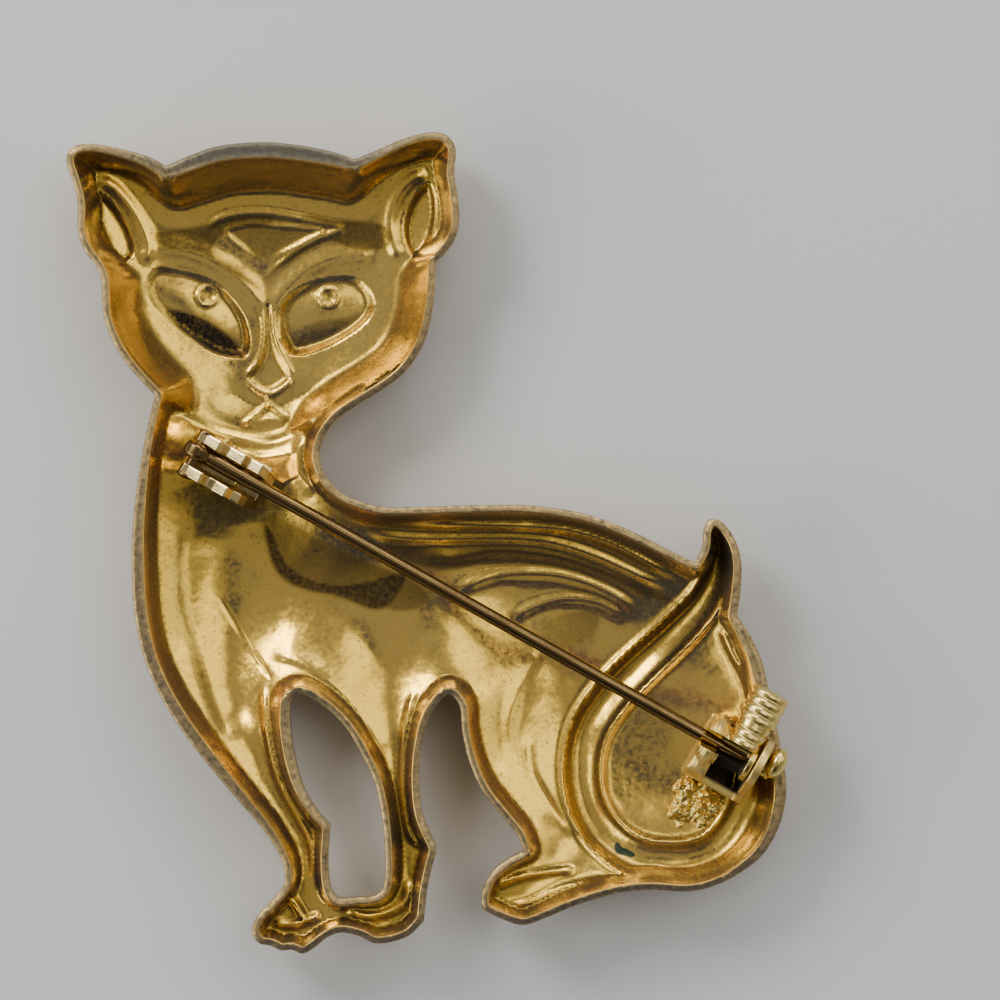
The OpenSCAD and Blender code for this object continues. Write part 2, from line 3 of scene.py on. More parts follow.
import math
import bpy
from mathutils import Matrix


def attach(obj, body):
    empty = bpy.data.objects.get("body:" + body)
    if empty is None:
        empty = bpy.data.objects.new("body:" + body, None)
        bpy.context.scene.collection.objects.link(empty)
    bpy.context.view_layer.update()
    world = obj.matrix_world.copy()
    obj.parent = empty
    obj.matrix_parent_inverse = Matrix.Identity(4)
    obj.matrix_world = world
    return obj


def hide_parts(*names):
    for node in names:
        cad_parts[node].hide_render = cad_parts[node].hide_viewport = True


bl_info = {
    "name": "Cat Brooch",
    "version": (1, 0, 0),
    "blender": (4, 5, 0),
    "location": "View3D > Sidebar > Brooch",
    "description": "Builds the struck cat, its hinge and catch, their gilt finishes and a plain studio",
    "category": "Object",
}

from collections import namedtuple

import bmesh
import bpy
import numpy as np
from bpy.props import FloatProperty, FloatVectorProperty, PointerProperty
from mathutils import Matrix, Vector, noise
from mathutils.geometry import delaunay_2d_cdt

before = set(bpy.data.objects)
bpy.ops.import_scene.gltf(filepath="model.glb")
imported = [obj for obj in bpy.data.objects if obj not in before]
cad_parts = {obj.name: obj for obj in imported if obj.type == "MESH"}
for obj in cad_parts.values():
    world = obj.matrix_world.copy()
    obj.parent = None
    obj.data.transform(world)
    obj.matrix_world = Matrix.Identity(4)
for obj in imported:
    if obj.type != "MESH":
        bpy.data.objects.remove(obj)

MM = 0.001

# How many points are measured against a line at a time, which keeps the memory small
BATCH = 3000

# Outer edge, clockwise from the left ear tip: percent across, percent up, and a 1 only at a sharp corner
EDGE = (
    (0, 96.5), (0.8, 98.1), (3.5, 98.6), (8, 97.9), (11.5, 97), (13.8, 95.9, 1), (17.5, 97.3), (21.5, 98.4),
    (27.5, 98.8), (32.5, 98.4), (37, 97.6), (40, 96.7, 1), (43, 97.8), (47, 99.3), (50.5, 100),
    (52.8, 99.6), (54, 98), (53.8, 95), (54.4, 91.5), (54.4, 88.5), (53.4, 86.3), (51.3, 84.2, 1),
    (51.1, 81), (50.6, 77.5), (49.4, 74), (47, 70.9), (44, 68.8), (40, 66.6), (37.5, 65), (35.8, 63),
    (35.1, 60.7), (35.9, 58.3), (37.7, 56.4), (40.3, 55.2), (44, 54.4), (49, 54.4), (57, 54.6), (64, 54.6),
    (69.5, 54), (74, 53), (79, 51.2), (83.5, 49.2), (87.2, 47.6, 1), (88.2, 49.5), (88.4, 51.5),
    (89.3, 52.9), (91, 52.5), (92.8, 50.3), (93.6, 47.5), (93.5, 44), (93, 41.2, 1), (94.8, 38.8),
    (96.3, 36), (97.2, 33), (98.4, 28), (99.7, 22), (99.7, 18.5), (98.6, 15), (96.6, 12.1), (94, 10.2),
    (90.5, 8.5), (86.5, 7.6), (81, 7.8), (76.5, 7.4), (71, 6), (66.5, 4.4), (63.3, 3.5), (60.2, 4.3),
    (57.7, 5.4, 1), (57.6, 7.3), (58.8, 9.7), (60.8, 11.3), (63.4, 12.5, 1), (62.4, 14.6), (60, 17.2),
    (57.6, 20), (55.9, 23.3), (54.9, 27), (54.6, 30), (53.2, 31.6), (51.7, 30.7), (50.2, 28.5), (49.2, 25),
    (48.9, 21), (49.3, 17.3), (50.4, 14.7), (51.3, 12.8), (50.7, 10.5), (50, 7.5), (49.6, 4, 1),
    (47.5, 2.2), (44.8, 1.4), (42.6, 1.3), (40.8, 2.1), (38.2, 2.6), (36.2, 2), (34.5, 0.8), (32.8, 0),
    (31.3, 0.5), (29.8, 0.4), (28.3, 1), (26.7, 1.3), (25.7, 2.8), (26.4, 4.5), (28.5, 6.5), (30.2, 8.6),
    (29.9, 11.3), (27.5, 14.9), (24.3, 18.2), (20.7, 21.9), (16.9, 26.1), (13.4, 30.8), (10.8, 35.9),
    (9.5, 41.2), (9.1, 46.5), (9.2, 52), (10, 58), (11.1, 63.5), (12.3, 68, 1), (10, 70.1), (7.9, 72.4),
    (6.2, 75), (5.1, 78), (4.9, 81.8), (4.1, 83.8), (2.6, 85.5), (1.6, 88), (1.6, 91.3), (0.9, 94),
)

# Edge of the opening between the front legs, clockwise, in the same way
LEG_GAP = (
    (31.1, 30.6), (31.9, 31.6), (33.2, 31.5), (35.6, 30.2), (38.4, 27.9), (40.6, 24.9), (42.6, 21.2),
    (43.7, 17), (44.2, 12.5), (44.1, 8.6), (43, 7.2), (40, 6.9), (37.7, 6.8), (36.6, 8.2), (36.3, 11.5),
    (36.6, 15.6, 1), (34.7, 17.5), (33, 20), (31.8, 23.5), (31.1, 27.5),
)

# Middle of the wrapped tail, from the rump round the foot to its tip, and its half width: all in percent
TAIL = (
    (95.6, 31, 1.8), (95.9, 25, 2.4), (95.3, 19.5, 2.7), (93, 14.8, 2.7), (89.5, 11.8, 2.7),
    (84.5, 10.8, 2.7), (79, 11.5, 2.7), (75, 14, 2.7), (72.4, 17.6, 2.7), (71.6, 22, 2.7),
    (72.5, 26.6, 2.7), (75.6, 31, 2.7), (80, 35, 2.7), (84.8, 39, 2.6), (88.4, 42.6, 2.4), (90.4, 46.4, 2),
    (90.9, 49.2, 1.5),
)

# Lower edge of the head over the neck, left to right, in percent across and up
CHIN = ((9, 71), (13, 67.6), (17, 64.6), (21.5, 62.7), (27, 62), (32, 63), (36, 65.4), (41, 68.5))

# Broad hollows of the back: where in percent, half sizes in percent, and how much deeper in mm
Swell = namedtuple("Swell", "across up half_across half_up deeper")
SWELLS = (
    Swell(75, 29, 22, 24, 0.4),
    Swell(24, 44, 15, 20, 0.5),
    Swell(23, 59, 13, 7, -0.5),
    Swell(50, 42, 14, 9, -0.5),
    Swell(62, 8, 8, 5, -0.6),
    Swell(36, 5, 16, 8, -0.7),
)

# Lines of the relief as the back shows them. A ridge rises by height over half mm to each side, and one with
# a height below 0 is a groove. A step rises on the left of its line and sinks back over fade mm.
Line = namedtuple("Line", "name kind height half fade points")
LINES = (
    Line("left brow", "ridge", 0.16, 0.6, 0, (
        (10.6, 86), (14, 86.2), (18, 85.4), (21.5, 83.8), (24.3, 81.8), (26.2, 79.6), (27, 77.4))),
    Line("right brow", "ridge", 0.16, 0.6, 0, (
        (43.2, 85.2), (40, 85.3), (36.5, 84.9), (33.2, 83.6), (30.8, 81.8), (28.9, 79.6), (28, 77.4))),
    Line("nose, left edge", "ridge", 0.12, 0.16, 0, (
        (26.6, 79), (27, 76.5), (26.8, 74), (26, 72), (24.8, 70.8), (24.4, 70))),
    Line("nose, right edge", "ridge", 0.12, 0.16, 0, (
        (28.3, 79), (28.5, 76), (29.5, 73.5), (30.7, 71.5), (31.2, 70.5))),
    Line("nose tip", "ridge", 0.1, 0.2, 0, (
        (24.4, 70.2), (25.8, 69), (27.3, 68.3), (28.5, 68.4), (30, 69.3), (31.1, 70.4))),
    Line("lip cleft", "ridge", 0.12, 0.14, 0, ((27.7, 68.2), (27.7, 66.6))),
    Line("mouth", "ridge", 0.13, 0.2, 0, ((23.8, 64.2), (26, 65.8), (27.7, 66.9), (29.3, 66), (31, 65))),
    Line("lower lip", "ridge", 0.07, 0.25, 0, ((25, 64.4), (27.7, 65.2), (30.2, 64.8))),
    Line("jaw", "ridge", 0.26, 0.4, 0, (
        (12.8, 68.6), (16, 65.6), (19.5, 63.9), (22.5, 63), (28, 62.4), (33, 64.2), (37, 67), (42, 70.2))),
    Line("left ear fold", "ridge", 0.22, 0.4, 0, (
        (3.2, 94.8), (6, 93.7), (8.4, 91.3), (10.2, 88.6), (10.9, 86), (9.9, 83.8))),
    Line("right ear fold", "ridge", 0.22, 0.4, 0, (
        (50.5, 95.2), (48, 94.8), (45.9, 92.8), (44.8, 90), (45, 87.2), (46.3, 84.6))),
    Line("forehead mark, outer", "ridge", 0.13, 0.24, 0, (
        (20.4, 87.4), (19.4, 88.6), (20.7, 89.8), (24, 90.5), (28, 90.5), (33, 89.7), (37.6, 88.7),
        (34.5, 87.3), (31, 85.5), (27, 82.4))),
    Line("forehead mark, inner", "ridge", 0.09, 0.18, 0, (
        (26.6, 84.6), (24.4, 86), (21.8, 88.2), (25, 89.2), (29, 89), (35, 88.4), (33, 87.2), (30, 85.8),
        (27, 84.4))),
    Line("first back fold", "ridge", 0.34, 0.34, 0, (
        (36, 57), (38, 54.5), (42, 53), (48, 52.4), (56, 52.2), (64, 52), (70, 51.5), (76, 49.8), (82, 47),
        (86.4, 45.3))),
    Line("second back fold", "ridge", 0.28, 0.32, 0, (
        (40, 52.2), (44, 50.9), (50, 50.5), (62, 50.5), (68, 49.9), (74, 48.2), (80, 45.8), (85, 44.2))),
    Line("third back fold", "ridge", 0.2, 0.4, 0, (
        (48, 49), (53, 48.3), (58, 48.9), (64, 48.8), (70, 47.8), (76, 45.8), (82, 43.2))),
    Line("haunch, upper arc", "ridge", 0.24, 0.4, 0, (
        (53, 43.8), (58, 45.6), (62, 46.2), (68, 46), (73, 44.8), (77, 43), (79.4, 40.8))),
    Line("haunch, lower arc", "ridge", 0.18, 0.34, 0, (
        (61.5, 40.3), (64, 41.8), (68, 43), (72, 43), (75, 42.2), (78, 40.4))),
    Line("inner thigh crease", "ridge", 0.1, 0.45, 0, (
        (66.5, 38), (63.5, 33.5), (61.5, 28.5), (61.9, 24), (64.4, 19.4), (68.4, 14.6))),
    Line("second thigh crease", "ridge", 0.14, 0.3, 0, ((64, 26.4), (64.6, 22), (67, 18), (70.4, 13.6))),
    Line("leg crease", "ridge", -0.07, 0.14, 0, ((20.5, 43.5), (22.6, 40.6), (24.8, 37.4), (28.4, 33))),
    Line("chest hollow", "step", -0.3, 0.7, 3.6, (
        (15.6, 54), (15.3, 44), (17, 38), (19.5, 31), (22.4, 25))),
    Line("belly arc", "step", 0.2, 0.4, 2.4, ((27.5, 36), (32, 35), (37, 32.2), (41, 28), (44, 23.4))),
    Line("left shin", "ridge", 0.24, 0.22, 0, (
        (27, 33), (27.6, 27), (29.2, 21), (32, 16.4), (33.8, 13), (34.2, 8))),
    Line("right shin", "ridge", 0.24, 0.22, 0, (
        (48.4, 32.4), (47, 28), (46.5, 23), (46.8, 18), (47.8, 14), (50.4, 12.5))),
    Line("neck fold", "ridge", 0.16, 0.4, 0, ((33.2, 64), (31.9, 61), (32.2, 58.4), (34.4, 56))),
    Line("throat fold", "ridge", 0.14, 0.3, 0, ((20.6, 62), (26, 60.4), (31.4, 61))),
    Line("left forepaw, upper toe", "ridge", 0.3, 0.24, 0, ((29, 8.2), (31.5, 6), (33.4, 3.4))),
    Line("left forepaw, lower toe", "ridge", 0.24, 0.24, 0, ((28.4, 3.6), (31.6, 3.4), (35.4, 4.6))),
    Line("right forepaw toe", "ridge", 0.26, 0.26, 0, ((38.4, 5.4), (42, 4.4), (46.6, 5.8), (47.6, 9))),
    Line("hind paw, upper", "ridge", 0.24, 0.24, 0, ((58.8, 8), (62, 9), (66, 9.6), (71, 10))),
    Line("hind paw, lower", "ridge", 0.2, 0.24, 0, ((60.4, 5.8), (64, 6), (69, 7.8), (76, 9))),
    Line("outer foot fold", "ridge", 0.22, 0.24, 0, (
        (76, 9.6), (82, 9.1), (88, 9.3), (93, 11.4), (96.6, 15.5), (97.8, 20), (97.4, 25))),
    Line("rump fold", "ridge", 0.3, 0.26, 0, ((90.8, 40), (92.6, 36.5), (94.6, 33), (96, 29))),
)

# Hollows of the back with a crisp edge: how much deeper, how far in from the edge the slope reaches, how much
# of the depth comes only on the way across, the direction of that way in degrees, how far the middle bulges
# back, and the edge
Bowl = namedtuple("Bowl", "name deeper slope lean turn bulge points")
BOWLS = (
    Bowl("left eye", 1.0, 0.7, 0.6, -58, 0.5, (
        (10.2, 82), (12, 84), (15.5, 83.7), (19, 82.8), (22, 81), (24.5, 78), (25.4, 75), (24.9, 73),
        (23.5, 72.5), (20, 73), (16.5, 75), (13, 77.5), (11, 79.5))),
    Bowl("right eye", 1.0, 0.7, 0.6, -80, 0.5, (
        (28.9, 78), (30, 80.3), (33, 82), (37, 83), (40, 82.8), (42, 81.3), (42.8, 79.3), (41.5, 77),
        (38.5, 75), (35, 73.5), (31, 72.8), (29.3, 75))),
    Bowl("left ear", 0.4, 0.5, 0, 0, 0, (
        (2.8, 93.4), (5.2, 92.6), (7.4, 90.2), (8.9, 87.4), (9, 85.2), (7.4, 84.2), (5.6, 85.2),
        (4.3, 87.6), (3.1, 90.6))),
    Bowl("right ear", 0.4, 0.5, 0, 0, 0, (
        (50.3, 94.4), (48.6, 93.4), (47.2, 91.4), (46.5, 89), (46.8, 86.6), (48, 84.8), (49.8, 85.6),
        (51, 88), (51.4, 91), (51.1, 93.2))),
    Bowl("nose", 0.16, 0.5, 0, 0, 0, (
        (26.9, 79.5), (27, 76.5), (26.7, 74), (25.8, 72), (24.4, 70.3), (25.6, 69.2), (27.6, 68.4),
        (29.8, 69.2), (31.1, 70.4), (29.8, 72.3), (28.9, 74.5), (28.4, 77), (28.3, 79.5))),
    Bowl("muzzle", 0.25, 2.6, 0, 0, 0, (
        (19.5, 67.5), (21, 70.5), (24.5, 71), (27.7, 69.5), (31, 70.8), (35, 70.5), (36.2, 67.5), (33, 65),
        (27.7, 63.6), (22.5, 64.8))),
)

# Brown patina that no cloth lifts, together with painted shade and painted dark reflection in the eyes, on
# the forehead, under the pin and along the back folds: how strong, from 0 to 1, and its edge in percent
PATINA_AND_SHADE = (
    (1, (
        (13.2, 78.6), (16.2, 78.4), (19.9, 77), (22.7, 75), (24.4, 72.6), (23, 72.7), (20.8, 73.2),
        (17.7, 74.6), (15, 76.3))),
    (0.4, ((31, 74.6), (34.4, 77.2), (38, 77.6), (41.4, 78.4), (40.4, 76.6), (36, 74.4), (32, 73.2))),
    (0.6, ((36.4, 77.2), (38.6, 77.6), (39, 76), (37.2, 75.4))),
    (0.7, (
        (27.4, 53.6), (31, 52.4), (36, 50), (42, 47.6), (48, 45.4), (50.4, 43), (47, 41.6), (40, 42.6),
        (34, 44.2), (30.6, 46), (28.6, 49))),
    (0.75, (
        (44, 50.2), (52, 49.4), (60, 49.8), (68, 48.9), (76, 46.6), (84, 43.4), (85.4, 42.2), (80, 43.4),
        (74, 45.6), (67, 47.2), (60, 47.6), (52, 46.6), (46, 48))),
    (0.6, (
        (34, 56.6), (38, 53.8), (44, 52.4), (56, 51.6), (68, 51), (76, 49.4), (84, 46.2), (76, 48.2),
        (68, 50), (56, 50.6), (44, 51), (37, 52.8))),
    (0.45, ((66, 39.6), (70, 41.4), (74, 41.2), (73, 38.4), (69, 37))),
    (0.85, (
        (12, 88.2), (17.7, 88.9), (23, 90.1), (28.4, 90.2), (28.4, 89.2), (23, 88.6), (20.5, 87),
        (20, 85.3), (23, 83.8), (26.5, 81.3), (24.6, 82), (20.7, 84.3), (17.3, 85.7), (13.1, 86.2))),
    (0.6, (
        (26.6, 84.8), (24.6, 86.2), (22.4, 88), (25.4, 88.9), (29, 88.8), (34, 88.2), (32, 87),
        (29.6, 85.8))),
    (0.85, (
        (32.2, 90.5), (37.6, 89.8), (43.7, 89.2), (45.2, 87.3), (43.7, 86), (39.5, 86), (36, 87),
        (31.5, 85), (28.4, 83), (27.4, 81.4), (27.9, 83), (30.2, 85.3), (33.5, 86.8), (38.2, 88.2),
        (34.5, 89.5))),
    (0.95, (
        (26.9, 52.2), (28.3, 51.4), (30, 47.9), (33.1, 45.8), (37.3, 44.9), (42.1, 45.5), (46.3, 46.4),
        (47.1, 45.5), (44.9, 42.4), (42.1, 41.8), (37.3, 43.4), (33.8, 43.9), (30.3, 45.1), (28.2, 47.3))),
)

# Ring-shaped pupils, in percent across and up
PUPILS = ((19.1, 80.4), (36.1, 80.2))

# Where heat and spilled solder left the gilt brown and rough: beside the hinge, under the catch and at the
# throat. Each spot has its middle in percent and its half sizes in mm.
HEAT = (
    ((20, 53.6), (2.7, 1.5)), ((28.6, 51.8), (1.0, 0.8)), ((16, 57), (0.8, 1.2)), ((32.5, 57), (1.2, 1.2)),
    ((88.6, 16.5), (1.8, 1.6)), ((93, 18), (1.6, 1.0)),
)

# Spots of verdigris on the tail, in the same way
VERDIGRIS = (((77.5, 12), (0.42, 0.26)), ((76.6, 12.6), (0.2, 0.34)), ((78.6, 11.6), (0.26, 0.16)))

# Rings of mesh points along an edge: how far in, in mm, and whether that is counted from the rim's inner edge
RINGS = ((0.06, 0), (0.14, 0), (0.45, 0), (-0.1, 1), (0, 1), (0.06, 1), (0.13, 1), (0.24, 1))

# Sockets of a colour mix: what lies under, and what covers it
UNDER, OVER = 6, 7

# The map that holds the floor's dish: its spacing in mm, and how often it is evened out
DISH_GRID = 0.3
DISH_ROUNDS = 14

# Middles of the ears, in percent across and up
EARS = ((5, 90), (49.2, 91))

# Where the pin's rivet stands and where the middle of the roller lies, across and up in percent
HINGE_AT = (18.3, 61.1)
CATCH_AT = (93, 24.3)

# Top edges of the hinge ears: along the pin from the rivet, and height over the pin's middle, in mm
UPPER_EAR = (
    (-0.5, -0.9), (-0.5, 0.1), (-0.35, 0.4), (0.05, 0.42), (1.0, 0.84), (1.6, 0.22), (2.7, 0.66), (3.05, 0.2),
    (3.9, 0.52), (4.4, 0), (4.9, -0.7), (5.3, -1.7), (5.35, -2.4),
)
LOWER_EAR = (
    (-0.5, -0.9), (-0.5, 0.1), (-0.35, 0.38), (0, 0.4), (0.95, 0.8), (1.4, 0.28), (1.85, 0.26), (2.7, 0.6),
    (3.1, 0.1), (3.6, -0.05), (4.0, -0.7), (4.35, -1.5), (4.4, -2.4),
)

# The hinge's plate: where it starts and ends along the pin, counted from the rivet, and how far its top lies
# below the pin's middle, in mm
PLATE = (-0.5, 4.4)
PLATE_DROP = 2.54

# Radius of the rivet's wire, and half sizes of its hammered heads, in mm
RIVET = 0.35
RIVET_HEAD = (0.56, 0.2, 0.56)

# The pin's flattened eye as three discs: radius and half thickness, in mm
EYE = ((0.9, 0.3), (0.82, 0.43), (0.68, 0.52))

# Radius of the pin's wire at places along it, counted from the rivet, in mm
STEM = (
    (0, 0.51), (1.5, 0.51), (3, 0.49), (4.6, 0.44), (5.6, 0.425), (20, 0.425), (34.9, 0.425), (35.9, 0.37),
    (37, 0.26), (37.9, 0.17), (38.25, 0.12),
)

# Feet of the catch cheeks: where the back of the leg stands, and the back edges of the near and the far cheek
# from there up, as places across the pin and heights over its middle, in mm
LEG_BACK = -2.6
NEAR_LEG = ((LEG_BACK, -0.8), (-2.5, -0.2), (-2.15, 0.4))
FAR_LEG = ((LEG_BACK, -0.9), (-2.1, -0.3))

# The near cheek in slices that round its edges: how much smaller, and how far in from each side, in mm
CHEEK_SLICES = ((0.5, 0), (0.28, 0.08), (0.12, 0.22), (0, 0.42))

# Radii in mm of the roller's bore and of the neck that carries its ball, and the ball's middle and half sizes
ROLLER_BORE = 0.625
ROLLER_NECK = 0.446
BALL = ((2.3, 0.72, 5.85), (0.58, 1.0, 0.78))

# The roller's thumb bar: how many ribs, steps of the mesh per rib, its slope in degrees, and in mm how far
# out and how high it ends
RIBS = 7
RIB_STEPS = 16
BAR_SLOPE = 16
BAR_END = 4.4
BAR_END_HEIGHT = 5.15

# Below this height in mm a fitting is sunk in the floor, and it ends this deep in the sheet
SUNK = 2.8
BURIED = 0.4

# Lumps of solder round the hinge's foot and the catch's, in the pin's frame: middle, then half sizes, in mm
HINGE_SOLDER = ((3.4, 0.2, 1.7, 1, 0.35), (1, 1, 1.6, 0.4, 0.25))
CATCH_SOLDER = (
    (-0.9, -4.6, 1.0, 1.1, 0.6), (0, -4.1, 1.1, 1.2, 0.75), (-0.3, -3.2, 1.2, 0.7, 0.7),
    (-1.5, -3.4, 0.7, 0.8, 0.5), (0.7, -3.3, 0.8, 0.6, 0.5),
)

# Light of the room round the soft boxes, and the width of the camera's sensor in mm
ROOM_COLOUR = "#E6E6E6"
ROOM_LIGHT = 0.42
SENSOR = 36

# Soft boxes: name, middle and size in mm, and power in watts
SOFT_BOXES = (
    ("key box", (-310, 320, 340), (200, 240), 2.0),
    ("ceiling box", (190, 130, 350), (220, 340), 0.42),
    ("right box", (430, 60, 240), (240, 260), 0.2),
    ("left box", (-440, -110, 200), (340, 320), 1.4),
    ("top box", (40, 430, 260), (380, 180), 1.1),
)


def linear(code):
    """An sRGB hex colour as linear RGBA."""
    parts = [int(code[i : i + 2], 16) / 255 for i in (1, 3, 5)]
    return (*[c / 12.92 if c <= 0.04045 else ((c + 0.055) / 1.055) ** 2.4 for c in parts], 1)


def mm_prop(name, description, size):
    """A length that is set in metres and given here in mm."""
    return FloatProperty(name=name, description=description, default=size * MM, unit="LENGTH", precision=5)


def colour_prop(name, description, code):
    """A colour that is given here as sRGB hex."""
    return FloatVectorProperty(
        name=name, description=description, default=linear(code), size=4, min=0, max=1, subtype="COLOR")


class BroochCat(bpy.types.PropertyGroup):
    width: mm_prop("Width", "Across the ears, body and tail", 43.9)
    height: mm_prop("Height", "From the paws to the ear tips", 50)
    depth: mm_prop("Depth", "From the filed rim down to the highest points of the face", 5)
    rim: mm_prop("Rim", "Width of the filed rim round the hollow where it is narrowest", 0.42)
    crown_rim: mm_prop("Crown rim", "How much wider the rim is over the crown of the head", 0.5)
    flank_rim: mm_prop("Flank rim", "How much wider the rim is down the chest and round the rump", 0.34)
    head_wall: FloatProperty(name="Head wall", description="Slope of the head's side wall", default=1.7)
    body_wall: FloatProperty(name="Body wall", description="Slope of the body's side wall", default=4.2)
    foot: mm_prop("Wall foot", "How far up the wall its rounded foot reaches", 0.6)
    brow_foot: mm_prop("Brow foot", "The same under the crown of the head, where the foot is sharper", 0.35)
    sheet: mm_prop("Sheet", "Thickness of the metal under the floor", 0.8)
    head_floor: mm_prop("Head floor", "Depth of the floor of the head below the rim", 3.5)
    body_floor: mm_prop("Body floor", "Depth of the floor of the body below the rim", 3.6)
    head_dome: mm_prop("Head dome", "How much the floor of the head rises from its middle to the wall", 1.1)
    body_dome: mm_prop("Body dome", "How much the floor of the body rises from its middle to the wall", 2.0)
    dome_reach: mm_prop("Dome reach", "Distance over which the floor rises to the wall", 6.6)
    waviness: mm_prop("Waviness", "Height of the slow waves that hand work leaves in the floor", 0.006)
    grid: mm_prop("Grid", "Spacing of the mesh on the floor", 0.185)


class BroochFittings(bpy.types.PropertyGroup):
    pin_height: mm_prop("Pin height", "Height of the pin's middle above the surface under the face", 5.35)
    ear_thickness: mm_prop("Ear thickness", "Thickness of the hinge ears", 0.66)
    upper_gap: mm_prop("Upper ear gap", "From the pin's middle to the ear on the side of the head", 0.62)
    lower_gap: mm_prop("Lower ear gap", "From the pin's middle to the ear on the side of the chest", 0.95)
    cheek_near: mm_prop("Near cheek", "Thickness of the catch cheek nearer the hinge", 1.2)
    cheek_far: mm_prop("Far cheek", "Thickness of the far catch cheek", 0.5)
    catch_gap: mm_prop("Catch gap", "Room between the catch cheeks", 2.3)
    bore: mm_prop("Bore", "Radius of the hole in which the roller turns", 1.325)
    cheek_radius: mm_prop("Cheek radius", "Radius of the catch cheeks round the roller", 1.775)
    slot: mm_prop("Slot", "Width of the slot that lets the pin in", 1.11)


class BroochFinish(bpy.types.PropertyGroup):
    thin_gilt: colour_prop("Thin gilt", "Colour of the gilt where it is thinnest", "#E2AE32")
    thick_gilt: colour_prop("Thick gilt", "Colour of the gilt where it is thickest", "#F4CA4C")
    dark_steel: colour_prop("Dark steel", "Colour of the pin where it is darkened most", "#4C3620")
    light_steel: colour_prop("Light steel", "Colour of the pin where it is rubbed", "#9C8050")
    paper: colour_prop("Paper", "Colour of the paper under the brooch", "#C8C8C6")
    roughness: FloatProperty(name="Roughness", description="Roughness of the bright gilt", default=0.13)
    grain: mm_prop("Grain", "Size of the orange-peel grain in the gilt", 0.16)
    pit: mm_prop("Pit", "Size of the pits and specks", 0.3)


class BroochStudio(bpy.types.PropertyGroup):
    centre_x: mm_prop("Picture centre across", "Where the camera looks, across", 4.45)
    centre_y: mm_prop("Picture centre up", "Where the camera looks, up", 2.62)
    picture: mm_prop("Picture width", "Width of what the camera sees at the rim", 60.83)
    distance: mm_prop("Distance", "Height of the camera above the rim", 300)


def settings():
    return bpy.context.scene.brooch_cat


def fittings():
    return bpy.context.scene.brooch_fittings


def finishes():
    return bpy.context.scene.brooch_finish


def mm(value):
    """A length setting in mm."""
    return value / MM


def place(rows):
    """Percent across and up to mm in the part's frame."""
    cat = settings()
    share = np.array([row[:2] for row in rows], float) / 100 - 0.5
    return share * (mm(cat.width), mm(cat.height))


def closed_curve(rows, step):
    """A smooth closed curve through rows of percent across and up, with a third number at a sharp corner."""
    points = place(rows)
    after = np.roll(points, -1, 0)
    slope = (after - np.roll(points, 1, 0)) / 2
    spans = []
    for i, (a, b) in enumerate(zip(points, after)):
        j = (i + 1) % len(points)
        ta, tb = (b - a if len(rows[k]) > 2 else slope[k] for k in (i, j))
        spans.append(hermite(a, b, ta, tb, step))
    return np.concatenate(spans)


def open_curve(rows, step):
    """A smooth open curve through rows of percent across and percent up."""
    points = place(rows)
    slope = np.gradient(points, axis=0)
    spans = [hermite(*ends, step) for ends in zip(points, points[1:], slope, slope[1:])]
    return np.concatenate(spans + [points[-1:]])


def hermite(a, b, ta, tb, step):
    """Points from a up to b, but without b, on a curve that leaves a along ta and reaches b along tb."""
    chord = np.linalg.norm(b - a)
    ta = ta * min(1, 1.3 * chord / np.linalg.norm(ta))
    tb = tb * min(1, 1.3 * chord / np.linalg.norm(tb))
    count = max(1, math.ceil(chord / step))
    s = (np.arange(count) / count)[:, None]
    leaving = (2 * s**3 - 3 * s**2 + 1) * a + (s**3 - 2 * s**2 + s) * ta
    return leaving + (3 * s**2 - 2 * s**3) * b + (s**3 - s**2) * tb


def nearest(points, line, closed=False):
    """For each point its distance to a line, the side (1 on the line's left, -1 on its right), and how far
    along the line the nearest place lies (0 to 1)."""
    a = line if closed else line[:-1]
    run = (np.roll(line, -1, 0) if closed else line[1:]) - a
    sq = (run**2).sum(1)
    start = np.concatenate([[0], np.cumsum(np.sqrt(sq))])
    gap, side, share = np.empty((3, len(points)))
    for k in range(0, len(points), BATCH):
        part = slice(k, k + BATCH)
        dx = points[part, None, 0] - a[:, 0]
        dy = points[part, None, 1] - a[:, 1]
        t = np.clip((dx * run[:, 0] + dy * run[:, 1]) / sq, 0, 1)
        d2 = (dx - t * run[:, 0]) ** 2 + (dy - t * run[:, 1]) ** 2
        i = d2.argmin(1)
        r = np.arange(len(i))
        gap[part] = np.sqrt(d2[r, i])
        side[part] = np.sign(run[i, 0] * dy[r, i] - run[i, 1] * dx[r, i])
        share[part] = (start[i] + t[r, i] * np.sqrt(sq[i])) / start[-1]
    return gap, side, share


def inside(points, loop):
    """Whether each point lies inside a closed loop."""
    a, b = loop, np.roll(loop, -1, 0)
    rise = np.where(a[:, 1] == b[:, 1], 1, b[:, 1] - a[:, 1])
    out = np.zeros(len(points), bool)
    for k in range(0, len(points), BATCH):
        x, y = points[k : k + BATCH, None, 0], points[k : k + BATCH, None, 1]
        spans = (a[:, 1] > y) != (b[:, 1] > y)
        cross = x < a[:, 0] + (y - a[:, 1]) * (b[:, 0] - a[:, 0]) / rise
        out[k : k + BATCH] = (spans & cross).sum(1) % 2 == 1
    return out


def soft(t):
    """Smooth step from 0 to 1."""
    t = np.clip(t, 0, 1)
    return t * t * (3 - 2 * t)


def smooth_min(a, b, blend):
    """The lower of two heights, rounded over where they meet."""
    h = np.clip(0.5 + (b - a) / (2 * blend), 0, 1)
    return b + (a - b) * h - blend * h * (1 - h)


